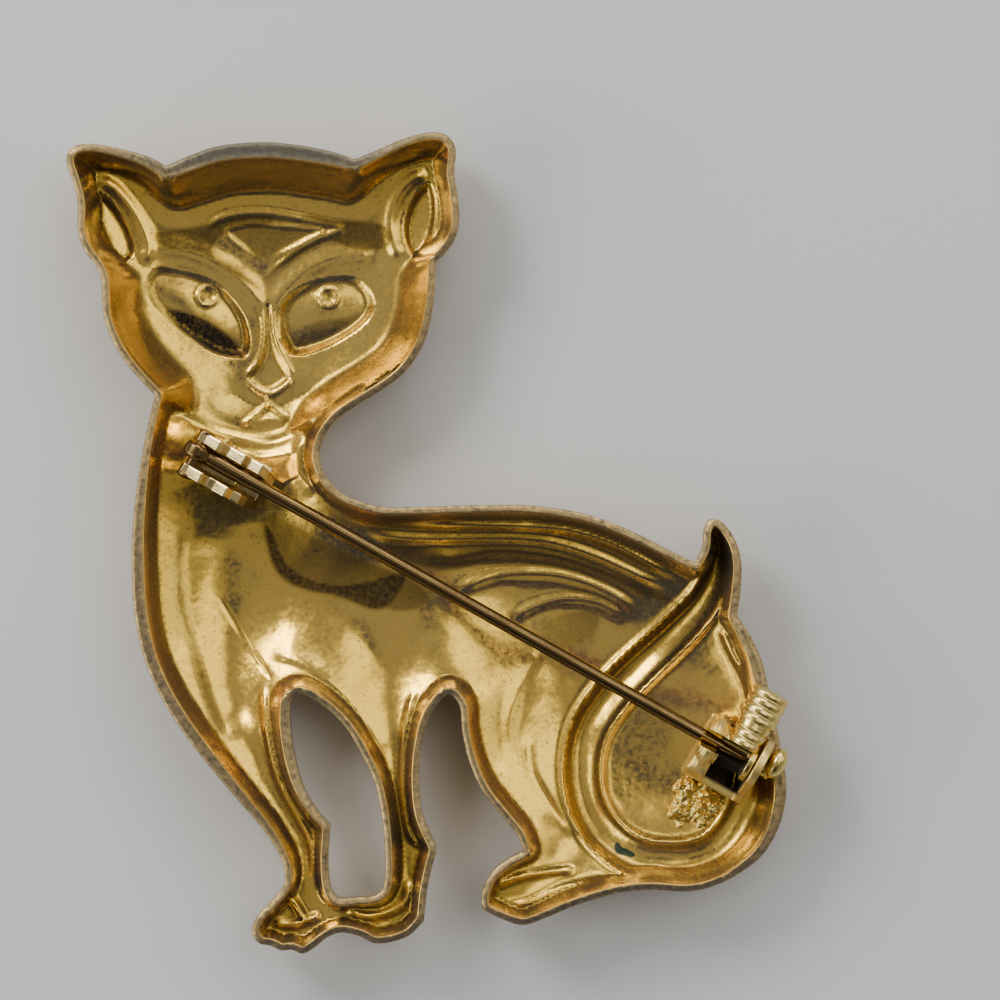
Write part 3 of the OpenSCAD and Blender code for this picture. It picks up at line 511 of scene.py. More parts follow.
class Relief:
    """Heights of both faces of the struck sheet over any points, in mm."""

    def __init__(self):
        cat = settings()
        self.depth = mm(cat.depth)
        self.edges = [closed_curve(EDGE, 0.32), closed_curve(LEG_GAP, 0.32)]
        self.chin = open_curve(CHIN, 0.6)
        self.tail = open_curve(TAIL, 0.5)
        self.tail_half = np.array([row[2] for row in TAIL]) / 100 * mm(cat.width)
        self.lines = [(line, open_curve(line.points, 0.35)) for line in LINES]
        self.bowls = [(bowl, closed_curve(bowl.points, 0.4)) for bowl in BOWLS]
        self.rise = self.dome_map()
        self.pupils = place(PUPILS)
        self.ears = place(EARS)

    def edge_gap(self, p):
        """Distance to the nearest edge of the sheet."""
        return np.minimum(*(nearest(p, edge, True)[0] for edge in self.edges))

    def rim_width(self, p):
        """The rim is wider over the crown of the head, down the chest and round the rump, at places given as
        shares of the width and height."""
        cat = settings()
        across = p[:, 0] / mm(cat.width) + 0.5
        up = p[:, 1] / mm(cat.height) + 0.5
        crown = np.exp(-(((across - 0.26) / 0.15) ** 4)) * soft((up - 0.88) / 0.05)
        chest = np.exp(-(((up - 0.38) / 0.2) ** 4)) * soft((0.36 - across - 0.25 * (up - 0.2)) / 0.08)
        rump = soft((across - 0.9) / 0.05) * np.exp(-(((up - 0.3) / 0.17) ** 4))
        return mm(cat.rim) + mm(cat.crown_rim) * crown + mm(cat.flank_rim) * (chest + rump)

    def head_share(self, p):
        """1 over the head, 0 over the body, with a soft step along the chin."""
        gap, side, _ = nearest(p, self.chin)
        return soft(0.5 + side * gap / 1.2)

    def wall_slope(self, p, on_head):
        """The wall leans more in the head than in the body, and stands steep round the ears."""
        cat = settings()
        ears = sum(np.exp(-((np.linalg.norm(p - ear, axis=1) / 3.2) ** 4)) for ear in self.ears)
        return cat.body_wall + (cat.head_wall - cat.body_wall) * on_head * (1 - ears)

    def dome_map(self):
        """The dish that the floor makes, on a coarse grid and evened out, so that it has no crease."""
        self.low = self.edges[0].min(0) - 3
        size = np.ceil((self.edges[0].max(0) + 3 - self.low) / DISH_GRID).astype(int) + 1
        x, y = np.meshgrid(np.arange(size[0]), np.arange(size[1]))
        p = self.low + np.stack([x.ravel(), y.ravel()], 1) * DISH_GRID
        metal = inside(p, self.edges[0]) & ~inside(p, self.edges[1])
        rise = (1 - np.clip(self.edge_gap(p) * metal / mm(settings().dome_reach), 0, 1)) ** 2
        rise = rise.reshape(size[1], size[0])
        for _ in range(DISH_ROUNDS):
            rise[1:-1] = (rise[:-2] + 2 * rise[1:-1] + rise[2:]) / 4
            rise[:, 1:-1] = (rise[:, :-2] + 2 * rise[:, 1:-1] + rise[:, 2:]) / 4
        return rise

    def dome(self, p, on_head):
        """How much the floor has risen, read from the map with weights that keep its slope smooth."""
        cat = settings()
        spot = (p - self.low) / DISH_GRID
        cell = np.clip(np.rint(spot), 1, np.array(self.rise.shape)[::-1] - 2).astype(int)
        d = spot - cell
        weights = 0.5 * (0.5 - d) ** 2, 0.75 - d**2, 0.5 * (0.5 + d) ** 2
        rise = sum(weights[i][:, 0] * weights[j][:, 1] * self.rise[cell[:, 1] + j - 1, cell[:, 0] + i - 1]
                   for i in range(3) for j in range(3))
        return rise * (mm(cat.body_dome) + (mm(cat.head_dome) - mm(cat.body_dome)) * on_head)

    def forms(self, p, on_head):
        """How deep the floor lies below the rim, without the side wall."""
        cat = settings()
        depth = mm(cat.body_floor) + (mm(cat.head_floor) - mm(cat.body_floor)) * on_head
        share = np.stack([p[:, 0] / mm(cat.width), p[:, 1] / mm(cat.height)], 1) + 0.5
        for s in SWELLS:
            spread = (share * 100 - (s.across, s.up)) / (s.half_across, s.half_up)
            depth += s.deeper * (1 - np.minimum((spread**2).sum(1), 1)) ** 2 * (1 - on_head)
        for line, curve in self.lines:
            self.add_line(depth, p, line, curve)
        for bowl, loop in self.bowls:
            self.add_bowl(depth, p, bowl, loop)
        self.add_tail(depth, p)
        self.add_pupils(depth, p)
        return depth + self.waves(p)

    def add_line(self, depth, p, line, curve):
        """A ridge, groove or step that fades out at both ends."""
        reach = max(3 * line.half, 2.2 * line.fade)
        near = ((p > curve.min(0) - reach) & (p < curve.max(0) + reach)).all(1)
        if not near.any():
            return
        gap, side, share = nearest(p[near], curve)
        ends = soft(share / 0.14) * soft((1 - share) / 0.14)
        if line.kind == "ridge":
            change = np.exp(-((gap / line.half) ** 2)) * ends
        else:
            rise = 0.5 * (1 + np.tanh(1.8 * side * gap / line.half))
            change = rise * np.exp(-((gap / line.fade) ** 2)) * ends
        depth[near] -= line.height * change

    def add_bowl(self, depth, p, bowl, loop):
        """A hollow that slopes down from its crisp edge, deeper on one side, with a middle that may bulge."""
        near = ((p > loop.min(0) - 0.1) & (p < loop.max(0) + 0.1)).all(1)
        t = nearest(p[near], loop, True)[0] / bowl.slope * inside(p[near], loop)
        way = (math.cos(math.radians(bowl.turn)), math.sin(math.radians(bowl.turn)))
        start, end = (loop @ way).min(), (loop @ way).max()
        across = np.clip((p[near] @ way - start) / (end - start), 0, 1) ** 2
        spread = loop - loop.mean(0)
        axes = np.linalg.eigh(np.cov(spread.T))[1]
        reach = np.abs(spread @ axes).max(0)
        r2 = (((p[near] - loop.mean(0)) @ axes / reach) ** 2).sum(1)
        bulge = bowl.bulge * np.maximum(1 - r2, 0)
        depth[near] += soft(t) * (bowl.deeper * (1 - bowl.lean + bowl.lean * across) - bulge)

    def add_tail(self, depth, p):
        """The tail is a round channel between two lips."""
        near = ((p > self.tail.min(0) - 2.5) & (p < self.tail.max(0) + 2.5)).all(1)
        gap, side, share = nearest(p[near], self.tail)
        half = np.interp(share, np.linspace(0, 1, len(self.tail_half)), self.tail_half)
        t = np.clip(gap / half, 0, 1)
        ends = soft(share / 0.06)
        channel = 0.62 * (1 - t * t) * (1 + 0.6 * side * t)
        lips = 0.26 * np.exp(-(((gap - half) / 0.28) ** 2))
        depth[near] += (channel - lips) * ends

    def add_pupils(self, depth, p):
        """Each pupil is a raised ring with a small dimple in it."""
        for centre in self.pupils:
            r = np.linalg.norm(p - centre, axis=1)
            depth -= 0.11 * np.exp(-(((r - 0.56) / 0.15) ** 2)) - 0.1 * np.exp(-((r / 0.3) ** 2))

    def waves(self, p):
        """Slow waves that hand work leaves in the floor, about 3 to 6 mm long."""
        x, y = p[:, 0], p[:, 1]
        w = np.sin(0.9 * x + 1.7 * y + 0.4) + np.sin(2.1 * x - 1.1 * y + 2.0)
        w += np.sin(1.5 * x + 0.7 * y + 4.1) + 0.6 * np.sin(-3.1 * x + 2.3 * y + 1.2)
        return mm(settings().waviness) * w

    def back(self, p, gap=None):
        """Height of the hollow side: the filed rim, worn round at its edges, the wall, and the floor with its
        relief."""
        cat = settings()
        gap = self.edge_gap(p) if gap is None else gap
        rim = self.rim_width(p)
        on_head = self.head_share(p)
        wall = np.maximum(gap - rim, 0) * self.wall_slope(p, on_head)
        floor = self.forms(p, on_head) - self.dome(p, on_head)
        crown = soft((p[:, 1] / mm(cat.height) - 0.36) / 0.05)
        foot = mm(cat.foot) + (mm(cat.brow_foot) - mm(cat.foot)) * crown
        hollow = np.where(gap > rim, smooth_min(wall, floor, foot), 0)
        hollow = np.maximum(hollow, 0) * soft((gap - rim + 0.02) / 0.14)
        worn = 0.09 * (1 - soft(gap / 0.16)) + 0.05 * soft((rim - gap) / 0.3)
        return self.depth - hollow - worn

    def hollowness(self, p):
        """How sharply the hollow side dips at each point, per mm: such places are painted dark, both for the
        compound and dirt that stay there and as painted shade.
        """
        reach = 0.16
        steps = ((reach, 0), (-reach, 0), (0, reach), (0, -reach))
        return sum(self.back(p + step) for step in steps) / reach**2 - 4 * self.back(p) / reach**2

    def front(self, p, gap=None):
        """Height of the face: the outer wall curves under into the same relief, one sheet lower."""
        cat = settings()
        gap = self.edge_gap(p) if gap is None else gap
        t = np.clip(gap / 1.9, 0, 1)
        wall = self.depth * (0.36 + 0.66 * np.sqrt(1 - (1 - t) ** 2))
        on_head = self.head_share(p)
        floor = self.forms(p, on_head) - self.dome(p, on_head) + mm(cat.sheet)
        return self.depth - smooth_min(smooth_min(wall, floor, 0.3), self.depth, 0.4)


def hex_grid(low, high, step):
    """Points in rows that are shifted by half a step in turn."""
    rows = np.arange(low[1], high[1], step * math.sqrt(0.75))
    cols = np.arange(low[0], high[0], step)
    x, y = np.meshgrid(cols, rows)
    x[1::2] += step / 2
    return np.stack([x.ravel(), y.ravel()], 1)


def inward(loop, side):
    """Directions across a loop, into the metal."""
    run = np.roll(loop, -1, 0) - np.roll(loop, 1, 0)
    return side * np.stack([run[:, 1], -run[:, 0]], 1) / np.linalg.norm(run, axis=1)[:, None]


def sheet_points(relief):
    """The mesh's points in plan: the edges, rings along the rim, and a grid over the rest."""
    edges = relief.edges
    rings = []
    for loop, side in zip(edges, (1, -1)):
        ways, rim = inward(loop, side), relief.rim_width(loop)
        for inset, from_rim in RINGS:
            reach = inset + from_rim * rim
            ring = loop + ways * reach[:, None]
            rings.append(ring[np.abs(relief.edge_gap(ring) - reach) < 0.02])
    grid = hex_grid(edges[0].min(0), edges[0].max(0), mm(settings().grid))
    grid = grid[inside(grid, edges[0]) & ~inside(grid, edges[1])]
    gap = relief.edge_gap(grid)
    beyond = gap - relief.rim_width(grid)
    grid = grid[(beyond > 0.32) | ((beyond < -0.16) & (gap > 0.22))]
    return np.concatenate(edges + rings + [grid])


def sheet_triangles(points, relief):
    """Triangles between the points and within the edges, and where each point went."""
    counts = [len(edge) for edge in relief.edges]
    rims = []
    start = 0
    for n in counts:
        rims += [(start + i, start + (i + 1) % n) for i in range(n)]
        start += n
    found = delaunay_2d_cdt([Vector(p) for p in points], rims, [], 0, 1e-6, True)
    flat = np.array([v[:] for v in found[0]])
    faces = np.array([f[:] for f in found[2]])
    where = {}
    for new, old in enumerate(found[3]):
        for k in old:
            where[k] = new
    middle = flat[faces].mean(1)
    keep = inside(middle, relief.edges[0]) & ~inside(middle, relief.edges[1])
    faces = faces[keep]
    a, b, c = (flat[faces[:, k]] for k in range(3))
    turned = (b[:, 0] - a[:, 0]) * (c[:, 1] - a[:, 1]) - (b[:, 1] - a[:, 1]) * (c[:, 0] - a[:, 0]) < 0
    faces[turned] = faces[turned][:, ::-1]
    return flat, faces, [(where[i], where[j]) for i, j in rims]


def slopes(height, points):
    """Upward normals of a height over points, from heights a little to each side."""
    reach = 0.03
    zx, zy = ((height(points + way) - height(points - way)) / (2 * reach) for way in np.eye(2) * reach)
    n = np.stack([-zx, -zy, np.ones(len(points))], 1)
    return n / np.linalg.norm(n, axis=1)[:, None]


def new_object(name, mesh, *materials):
    """An object in the scene, with its materials in slots."""
    obj = bpy.data.objects.new(name, mesh)
    bpy.context.scene.collection.objects.link(obj)
    for material in materials:
        mesh.materials.append(material)
    return obj


def set_attribute(mesh, name, values):
    """A number at each vertex, for the materials to read."""
    layer = mesh.attributes.new(name, "FLOAT", "POINT")
    layer.data.foreach_set("value", np.asarray(values, np.float32))


def mesh_points(mesh):
    """A mesh's vertices in mm."""
    points = np.empty(3 * len(mesh.vertices))
    mesh.vertices.foreach_get("co", points)
    return points.reshape(-1, 3) / MM


def move_points(mesh, points):
    """Moves a mesh's vertices to places in mm."""
    mesh.vertices.foreach_set("co", points.ravel() * MM)
    mesh.update()


def build_sheet():
    """The struck cat as one closed mesh with exact normals: hollow side, edge band and face."""
    relief = Relief()
    flat, faces, rims = sheet_triangles(sheet_points(relief), relief)
    n = len(flat)
    gap = relief.edge_gap(flat)
    back = np.column_stack([flat, relief.back(flat, gap)])
    front = np.column_stack([flat, relief.front(flat, gap)])
    band = np.array([(i, j, j + n, i + n) for i, j in rims])
    vertices = np.concatenate([back, front]) * MM
    mesh = bpy.data.meshes.new("cat_sheet")
    polygons = faces.tolist() + (faces[:, ::-1] + n).tolist() + band.tolist()
    mesh.from_pydata(vertices.tolist(), [], polygons)
    mesh.polygons.foreach_set("material_index", [0] * len(faces) + [1] * len(faces) + [0] * len(band))
    lift = slopes(relief.back, flat)
    down = -slopes(relief.front, flat)
    out = np.zeros((2 * n, 3))
    for i, j in rims:
        run = flat[j] - flat[i]
        for k in (i, j, i + n, j + n):
            out[k, :2] += (-run[1], run[0]) / np.linalg.norm(run)
    out /= np.maximum(np.linalg.norm(out, axis=1), 1e-9)[:, None]
    both = np.concatenate([lift, down])
    edge = np.unique(np.array(rims)) + n
    both[edge] = out[edge]
    loops = np.concatenate([both[faces.ravel()], both[(faces[:, ::-1] + n).ravel()], out[band.ravel()]])
    mesh.normals_split_custom_set(loops.tolist())
    rim = relief.rim_width(flat)
    across, up = (flat / (mm(settings().width), mm(settings().height)) + 0.5).T
    # Sharp dips of the hollow side join the patina mask as dark lines: dirt in the creases and painted shade
    crease = 0.6 * soft((relief.hollowness(flat) - 0.7) / 1.3) * (gap > rim)
    marks = {
        "rim": 1 - soft((gap - rim) / 0.1 + 0.5),
        "crown": soft((up - 0.93) / 0.04) * np.exp(-(((across - 0.28) / 0.2) ** 4)),
        # Steep walls, which the gilt colours darker and more amber: painted shade in the recess
        "wall": soft((0.93 - lift[:, 2]) / 0.27) * soft((gap - rim) / 0.1),
        # Patina together with painted shade and painted dark reflection in the eyes, on the forehead, along
        # the back folds and in the creases
        "patina_and_shade": np.maximum(patina_and_shade_mask(flat), crease),
        "heat": spot_mask(flat, HEAT, 4),
        "verdigris": spot_mask(flat, VERDIGRIS, 2),
    }
    for name, values in marks.items():
        set_attribute(mesh, name, np.concatenate([values, np.zeros(n)]))
    return mesh


def spot_mask(p, spots, power):
    """1 in the middle of each spot, fading to 0: the higher the power, the firmer the spot."""
    fades = (np.exp(-(np.linalg.norm((p - place([at])) / half, axis=1) ** power)) for at, half in spots)
    return np.clip(sum(fades), 0, 1)


def patina_and_shade_mask(p):
    """How strong the patina and the painted shade are, with an edge that is soft over 0.3 mm."""
    mask = np.zeros(len(p))
    for strength, points in PATINA_AND_SHADE:
        loop = closed_curve(points, 0.3)
        gap = nearest(p, loop, True)[0] * np.where(inside(p, loop), 1, -1)
        mask = np.maximum(mask, strength * soft(gap / 0.3 + 0.5))
    return mask


def pin_frame(at):
    """The pin's own frame at a place given in percent: X along the pin, Z up, in mm."""
    hinge, catch, origin = place([HINGE_AT, CATCH_AT, at])
    turn = math.atan2(catch[1] - hinge[1], catch[0] - hinge[0])
    return Matrix.Translation((*origin, 0)) @ Matrix.Rotation(turn, 4, "Z")


def add_tube(bm, rings):
    """A closed skin over rings of as many points each."""
    rings = [[bm.verts.new(point) for point in ring] for ring in rings]
    bm.faces.new(rings[0][::-1])
    bm.faces.new(rings[-1])
    for a, b in zip(rings, rings[1:]):
        for i in range(len(a)):
            j = (i + 1) % len(a)
            bm.faces.new((a[i], a[j], b[j], b[i]))


def add_prism(bm, outline, low, high, stand):
    """A prism over an outline; stand turns the outline's two numbers and the height into a place."""
    add_tube(bm, [[stand(a, b, h) for a, b in outline] for h in (low, high)])


def along_pin(a, b, h):
    """An outline in X and Z, standing across the pin."""
    return (a, h, b)


def across_pin(a, b, h):
    """An outline in Y and Z, standing along the pin."""
    return (h, a, b)


def add_block(bm, low, high):
    """A block between two corners, its outline lying flat."""
    outline = ((low[0], low[1]), (high[0], low[1]), (high[0], high[1]), (low[0], high[1]))
    add_prism(bm, outline, low[2], high[2], lambda a, b, h: (a, b, h))


def add_lump(bm, centre, half):
    """A squashed ball, such as a lump of solder."""
    move = Matrix.Translation(centre) @ Matrix.Diagonal((*half, 1))
    bmesh.ops.create_icosphere(bm, subdivisions=3, radius=1, matrix=move)


def arc(centre, radius, start, end, count=24):
    """Points on an arc, with angles in degrees from the first axis."""
    angles = np.radians(np.linspace(start, end, count))
    return [(centre[0] + radius * math.cos(a), centre[1] + radius * math.sin(a)) for a in angles]


def fused(name, bm, move, voxel, rounds):
    """Melts the overlapping solids of a bmesh into one skin with softly worn edges."""
    bmesh.ops.recalc_face_normals(bm, faces=bm.faces)
    bmesh.ops.triangulate(bm, faces=bm.faces)
    bm.transform(Matrix.Diagonal((MM, MM, MM, 1)) @ move)
    raw = bpy.data.meshes.new(name + "_raw")
    bm.to_mesh(raw)
    bm.free()
    obj = new_object(name + "_raw", raw)
    remesh = obj.modifiers.new("fuse", "REMESH")
    remesh.mode = "VOXEL"
    remesh.voxel_size = voxel * MM
    soften = obj.modifiers.new("wear", "SMOOTH")
    soften.iterations = rounds
    soften.factor = 0.5
    bpy.context.view_layer.update()
    mesh = bpy.data.meshes.new_from_object(obj.evaluated_get(bpy.context.evaluated_depsgraph_get()))
    mesh.name = name
    bpy.data.objects.remove(obj)
    bpy.data.meshes.remove(raw)
    mesh.polygons.foreach_set("use_smooth", [True] * len(mesh.polygons))
    return mesh


def lowest_back(relief, move, corners):
    """The lowest place of the hollow's floor over a rectangle of the pin's frame."""
    xs, ys = np.meshgrid(np.linspace(corners[0], corners[1], 12), np.linspace(corners[2], corners[3], 12))
    spots = [move @ Vector((x, y, 0)) for x, y in zip(xs.ravel(), ys.ravel())]
    return relief.back(np.array([(s.x, s.y) for s in spots])).min()


def bury(mesh, relief):
    """Lifts what is sunk deep in the floor, so that it ends within the thickness of the sheet."""
    points = mesh_points(mesh)
    low = points[:, 2] < SUNK
    points[low, 2] = np.maximum(points[low, 2], relief.back(points[low, :2]) - BURIED)
    move_points(mesh, points)
    return mesh


def bend_ear(bm, first):
    """The end of the upper ear bends in under the pin."""
    for vertex in list(bm.verts)[first:]:
        vertex.co.y -= 0.42 * float(soft((vertex.co.x - 3.7) / 1.5))


def build_hinge():
    """Two ears, their top edges bent over in a row of lobes, on a plate soldered into the neck."""
    fit, relief = fittings(), Relief()
    move = pin_frame(HINGE_AT)
    pin_z, thick = mm(fit.pin_height), mm(fit.ear_thickness)
    foot = lowest_back(relief, move, (-0.9, 4.7, -1.3, 1.3)) - 0.1
    plate_top = pin_z - PLATE_DROP
    bm = bmesh.new()
    for lobes, inner, side in ((UPPER_EAR, mm(fit.upper_gap), 1), (LOWER_EAR, mm(fit.lower_gap), -1)):
        first = len(bm.verts)
        low, high = sorted((side * inner, side * (inner + thick)))
        tops = [(x, pin_z + z) for x, z in lobes]
        outline = np.array([(lobes[0][0], foot), *tops, (lobes[-1][0], foot)])
        fine = np.concatenate([np.linspace(a, b, 6)[:-1] for a, b in zip(outline, np.roll(outline, -1, 0))])
        add_prism(bm, fine.tolist(), low, high, along_pin)
        if lobes is UPPER_EAR:
            bend_ear(bm, first)
    low_side, high_side = -mm(fit.lower_gap) - thick, mm(fit.upper_gap) + thick
    add_block(bm, (PLATE[0], low_side, foot), (PLATE[1], high_side, plate_top))
    ears = fused("hinge_ears", bm, move, 0.05, 1)
    solder = build_solder("hinge_solder", HINGE_SOLDER, move, plate_top - 0.35)
    return bury(ears, relief), bury(solder, relief)


def build_rivet():
    """Wire through both ears, hammered over into a low head at each end."""
    fit = fittings()
    move, pin_z = pin_frame(HINGE_AT), mm(fit.pin_height)
    start, end = -mm(fit.lower_gap) - mm(fit.ear_thickness), mm(fit.upper_gap) + mm(fit.ear_thickness)
    bm = bmesh.new()
    add_prism(bm, arc((0, pin_z), RIVET, 0, 345), start - 0.05, end + 0.05, along_pin)
    for y in (start, end):
        add_lump(bm, (0, y, pin_z), RIVET_HEAD)
    return fused("rivet_wire", bm, move, 0.04, 2)


def build_stem():
    """The pin: a flattened eye with rounded edges, a neck that narrows, a long shank and a point."""
    move, pin_z = pin_frame(HINGE_AT), mm(fittings().pin_height)
    bm = bmesh.new()
    for radius, half in EYE:
        add_prism(bm, arc((0, pin_z), radius, 0, 350, 36), -half, half, along_pin)
    turn = np.linspace(0, 2 * math.pi, 24, endpoint=False)
    add_tube(bm, [[(x, r * math.cos(a), pin_z + r * math.sin(a)) for a in turn] for x, r in STEM])
    return fused("pin_wire", bm, move, 0.06, 3)


def leg_outline(ring, foot, pin_z, back):
    """The foot and the back edge of a catch cheek, seen along the pin."""
    return [(0.8 * ring, foot), (LEG_BACK, foot)] + [(y, pin_z + z) for y, z in back]


def open_cheek(foot, pin_z, shrink):
    """The near cheek seen along the pin: a ring that is open at the top, on a leg that leans back."""
    fit = fittings()
    ring, bore, half = mm(fit.cheek_radius) - shrink, mm(fit.bore), mm(fit.slot) / 2
    at = (0, pin_z)
    top, inner = math.degrees(math.asin(half / ring)), math.degrees(math.asin(half / bore))
    right = arc(at, ring, 90 - top, 0)
    left = arc(at, ring, 148, 90 + top, 12)
    hole = arc(at, bore, 90 + inner, 450 - inner, 60)
    return right + leg_outline(ring, foot, pin_z, NEAR_LEG) + left + hole


def build_catch():
    """Two cheeks, the web behind them and the foot that is soldered to the rump."""
    fit, relief = fittings(), Relief()
    move, pin_z = pin_frame(CATCH_AT), mm(fit.pin_height)
    gap, ring = mm(fit.catch_gap) / 2, mm(fit.cheek_radius)
    start, end = -gap - mm(fit.cheek_near), gap + mm(fit.cheek_far)
    foot = lowest_back(relief, move, (start, end, LEG_BACK, 1.4)) - 0.1
    bm = bmesh.new()
    for shrink, margin in CHEEK_SLICES:
        add_prism(bm, open_cheek(foot, pin_z, shrink), start + margin, -gap - margin, across_pin)
    solid = arc((0, pin_z), ring, 128, 0, 40) + leg_outline(ring, foot, pin_z, FAR_LEG)
    add_prism(bm, solid, gap, end, across_pin)
    add_block(bm, (-gap - 0.1, LEG_BACK, foot), (gap + 0.1, -2.05, pin_z - 0.95))
    add_block(bm, (start, LEG_BACK, foot), (end, 0.8 * ring, foot + 0.75))
    add_block(bm, (-0.9, -4.2, foot), (0.7, -2.5, foot + 0.6))
    cheeks = fused("catch_cheeks", bm, move, 0.05, 9)
    paint_inner_shade(cheeks, move, pin_z)
    solder = build_solder("catch_solder", CATCH_SOLDER, move, foot + 0.35)
    return bury(cheeks, relief), bury(solder, relief)


def build_solder(name, lumps, move, level):
    """Solder that ran out round a foot and froze in crumpled lumps."""
    bm = bmesh.new()
    for x, y, long, wide, tall in lumps:
        add_lump(bm, (x, y, level), (long, wide, tall))
    mesh = fused(name, bm, move, 0.07, 1)
    points = mesh_points(mesh)
    ways = np.array([vertex.normal[:] for vertex in mesh.vertices])
    crumple = np.array([noise.turbulence(Vector(point) / 0.85, 3, True) for point in points]) - 0.35
    move_points(mesh, points + ways * 0.55 * crumple[:, None])
    return mesh


def paint_inner_shade(mesh, move, pin_z):
    """Marks the bore and what lies low between the cheeks, to be coloured dark: painted shade inside the
    catch.
    """
    back = np.array(move.inverted())
    x, y, z = (mesh_points(mesh) @ back[:3, :3].T + back[:3, 3]).T
    z -= pin_z
    between = soft((1.3 - np.abs(x)) / 0.15)
    bore = soft((1.05 - np.hypot(y, z)) / 0.2) * soft((0.3 - y) / 0.3)
    low = soft((-0.1 - y) / 0.5) * soft((0.1 - z) / 0.4) * soft((y + 2.3) / 0.2)
    set_attribute(mesh, "inner_shade", between * np.maximum(bore, low))


def build_roller():
    """The open sleeve that turns in the cheeks, with its milled thumb bar and the ball at its end."""
    fit = fittings()
    move, pin_z = pin_frame(CATCH_AT), mm(fit.pin_height)
    gap, outer, half = mm(fit.catch_gap) / 2, mm(fit.bore) - 0.05, mm(fit.slot) / 2
    at, root = (0, pin_z), half + 0.02
    lip, inner = math.degrees(math.asin(half / outer)), math.degrees(math.asin(half / ROLLER_BORE))
    shell = arc(at, outer, 90 - lip, -270 + lip, 72) + arc(at, ROLLER_BORE, 90 + inner, 450 - inner, 48)
    cradle = arc(at, outer, 90 - lip, -150, 60) + arc(at, ROLLER_BORE, -150, 90 - inner, 48)
    wing = ((root, pin_z + 0.72), (root, 6.3), (1.9, 5.95), (1.9, 5.75), (1.08, pin_z), (0.72, pin_z))
    bm = bmesh.new()
    for outline, start, end in (
            (shell, -gap - mm(fit.cheek_near), -gap + 0.1),
            (cradle, -gap, gap - 0.4),
            (arc(at, outer, 0, 354, 60), gap - 0.45, gap - 0.1),
            (arc(at, ROLLER_NECK, 0, 350, 36), gap - 0.2, BALL[0][0]),
            (wing, -gap + 0.1, gap - 0.1)):
        add_prism(bm, outline, start, end, across_pin)
    add_lump(bm, *BALL)
    add_thumb_bar(bm, gap - 0.1, root)
    mesh = fused("roller_gilt", bm, move, 0.045, 2)
    paint_inner_shade(mesh, move, pin_z)
    return mesh


def add_thumb_bar(bm, radius, start):
    """A half-round bar with milled ribs across it, which slopes down away from the roller."""
    slope = math.radians(BAR_SLOPE)
    length = (BAR_END - start) / math.cos(slope)
    low = BAR_END_HEIGHT + (BAR_END - start) * math.tan(slope)
    half_turn = [math.pi * i / 24 for i in range(25)]
    rings = []
    for s in np.arange(RIBS * RIB_STEPS + 1) / (RIBS * RIB_STEPS):
        rib = abs(math.sin(math.pi * RIBS * s)) ** 0.4
        tip = math.sqrt(max(0, 1 - max(0, (s - 0.93) / 0.08) ** 2))
        y = start + s * length * math.cos(slope)
        z = low - s * length * math.sin(slope)
        barrel = 1 + 0.18 * float(soft((y - 1.95) / 0.4))
        r = radius * barrel * (0.85 + 0.15 * rib) * (0.5 + 0.5 * tip)
        rings.append([(r * math.cos(a), y, z + r * math.sin(a) * 0.92) for a in half_turn])
    add_tube(bm, rings)


def per(size):
    """Noise scale for a pattern of a size in mm, on coordinates in metres."""
    return 1 / (size * MM)


def add_node(tree, kind, inputs=(), out=None, **options):
    """Adds a node with its options, and its inputs as values, hex colours or sockets to link. Returns the
    output that out names, or else the first that is in use."""
    node = tree.nodes.new("ShaderNode" + kind)
    for key, value in options.items():
        setattr(node, key, value)
    for key, value in dict(inputs).items():
        if isinstance(value, bpy.types.NodeSocket):
            tree.links.new(value, node.inputs[key])
        else:
            node.inputs[key].default_value = linear(value) if isinstance(value, str) else value
    used = [socket for socket in node.outputs if socket.name == out or (out is None and socket.enabled)]
    return used[0] if used else None


def start_material(name):
    """A bare material, its node tree, and the place on the object that its patterns follow."""
    material = bpy.data.materials.new(name)
    material.use_nodes = True
    tree = material.node_tree
    tree.nodes.clear()
    return material, tree, add_node(tree, "TexCoord", out="Object")


def finish_material(tree, inputs):
    shader = add_node(tree, "BsdfPrincipled", inputs)
    add_node(tree, "OutputMaterial", {"Surface": shader})


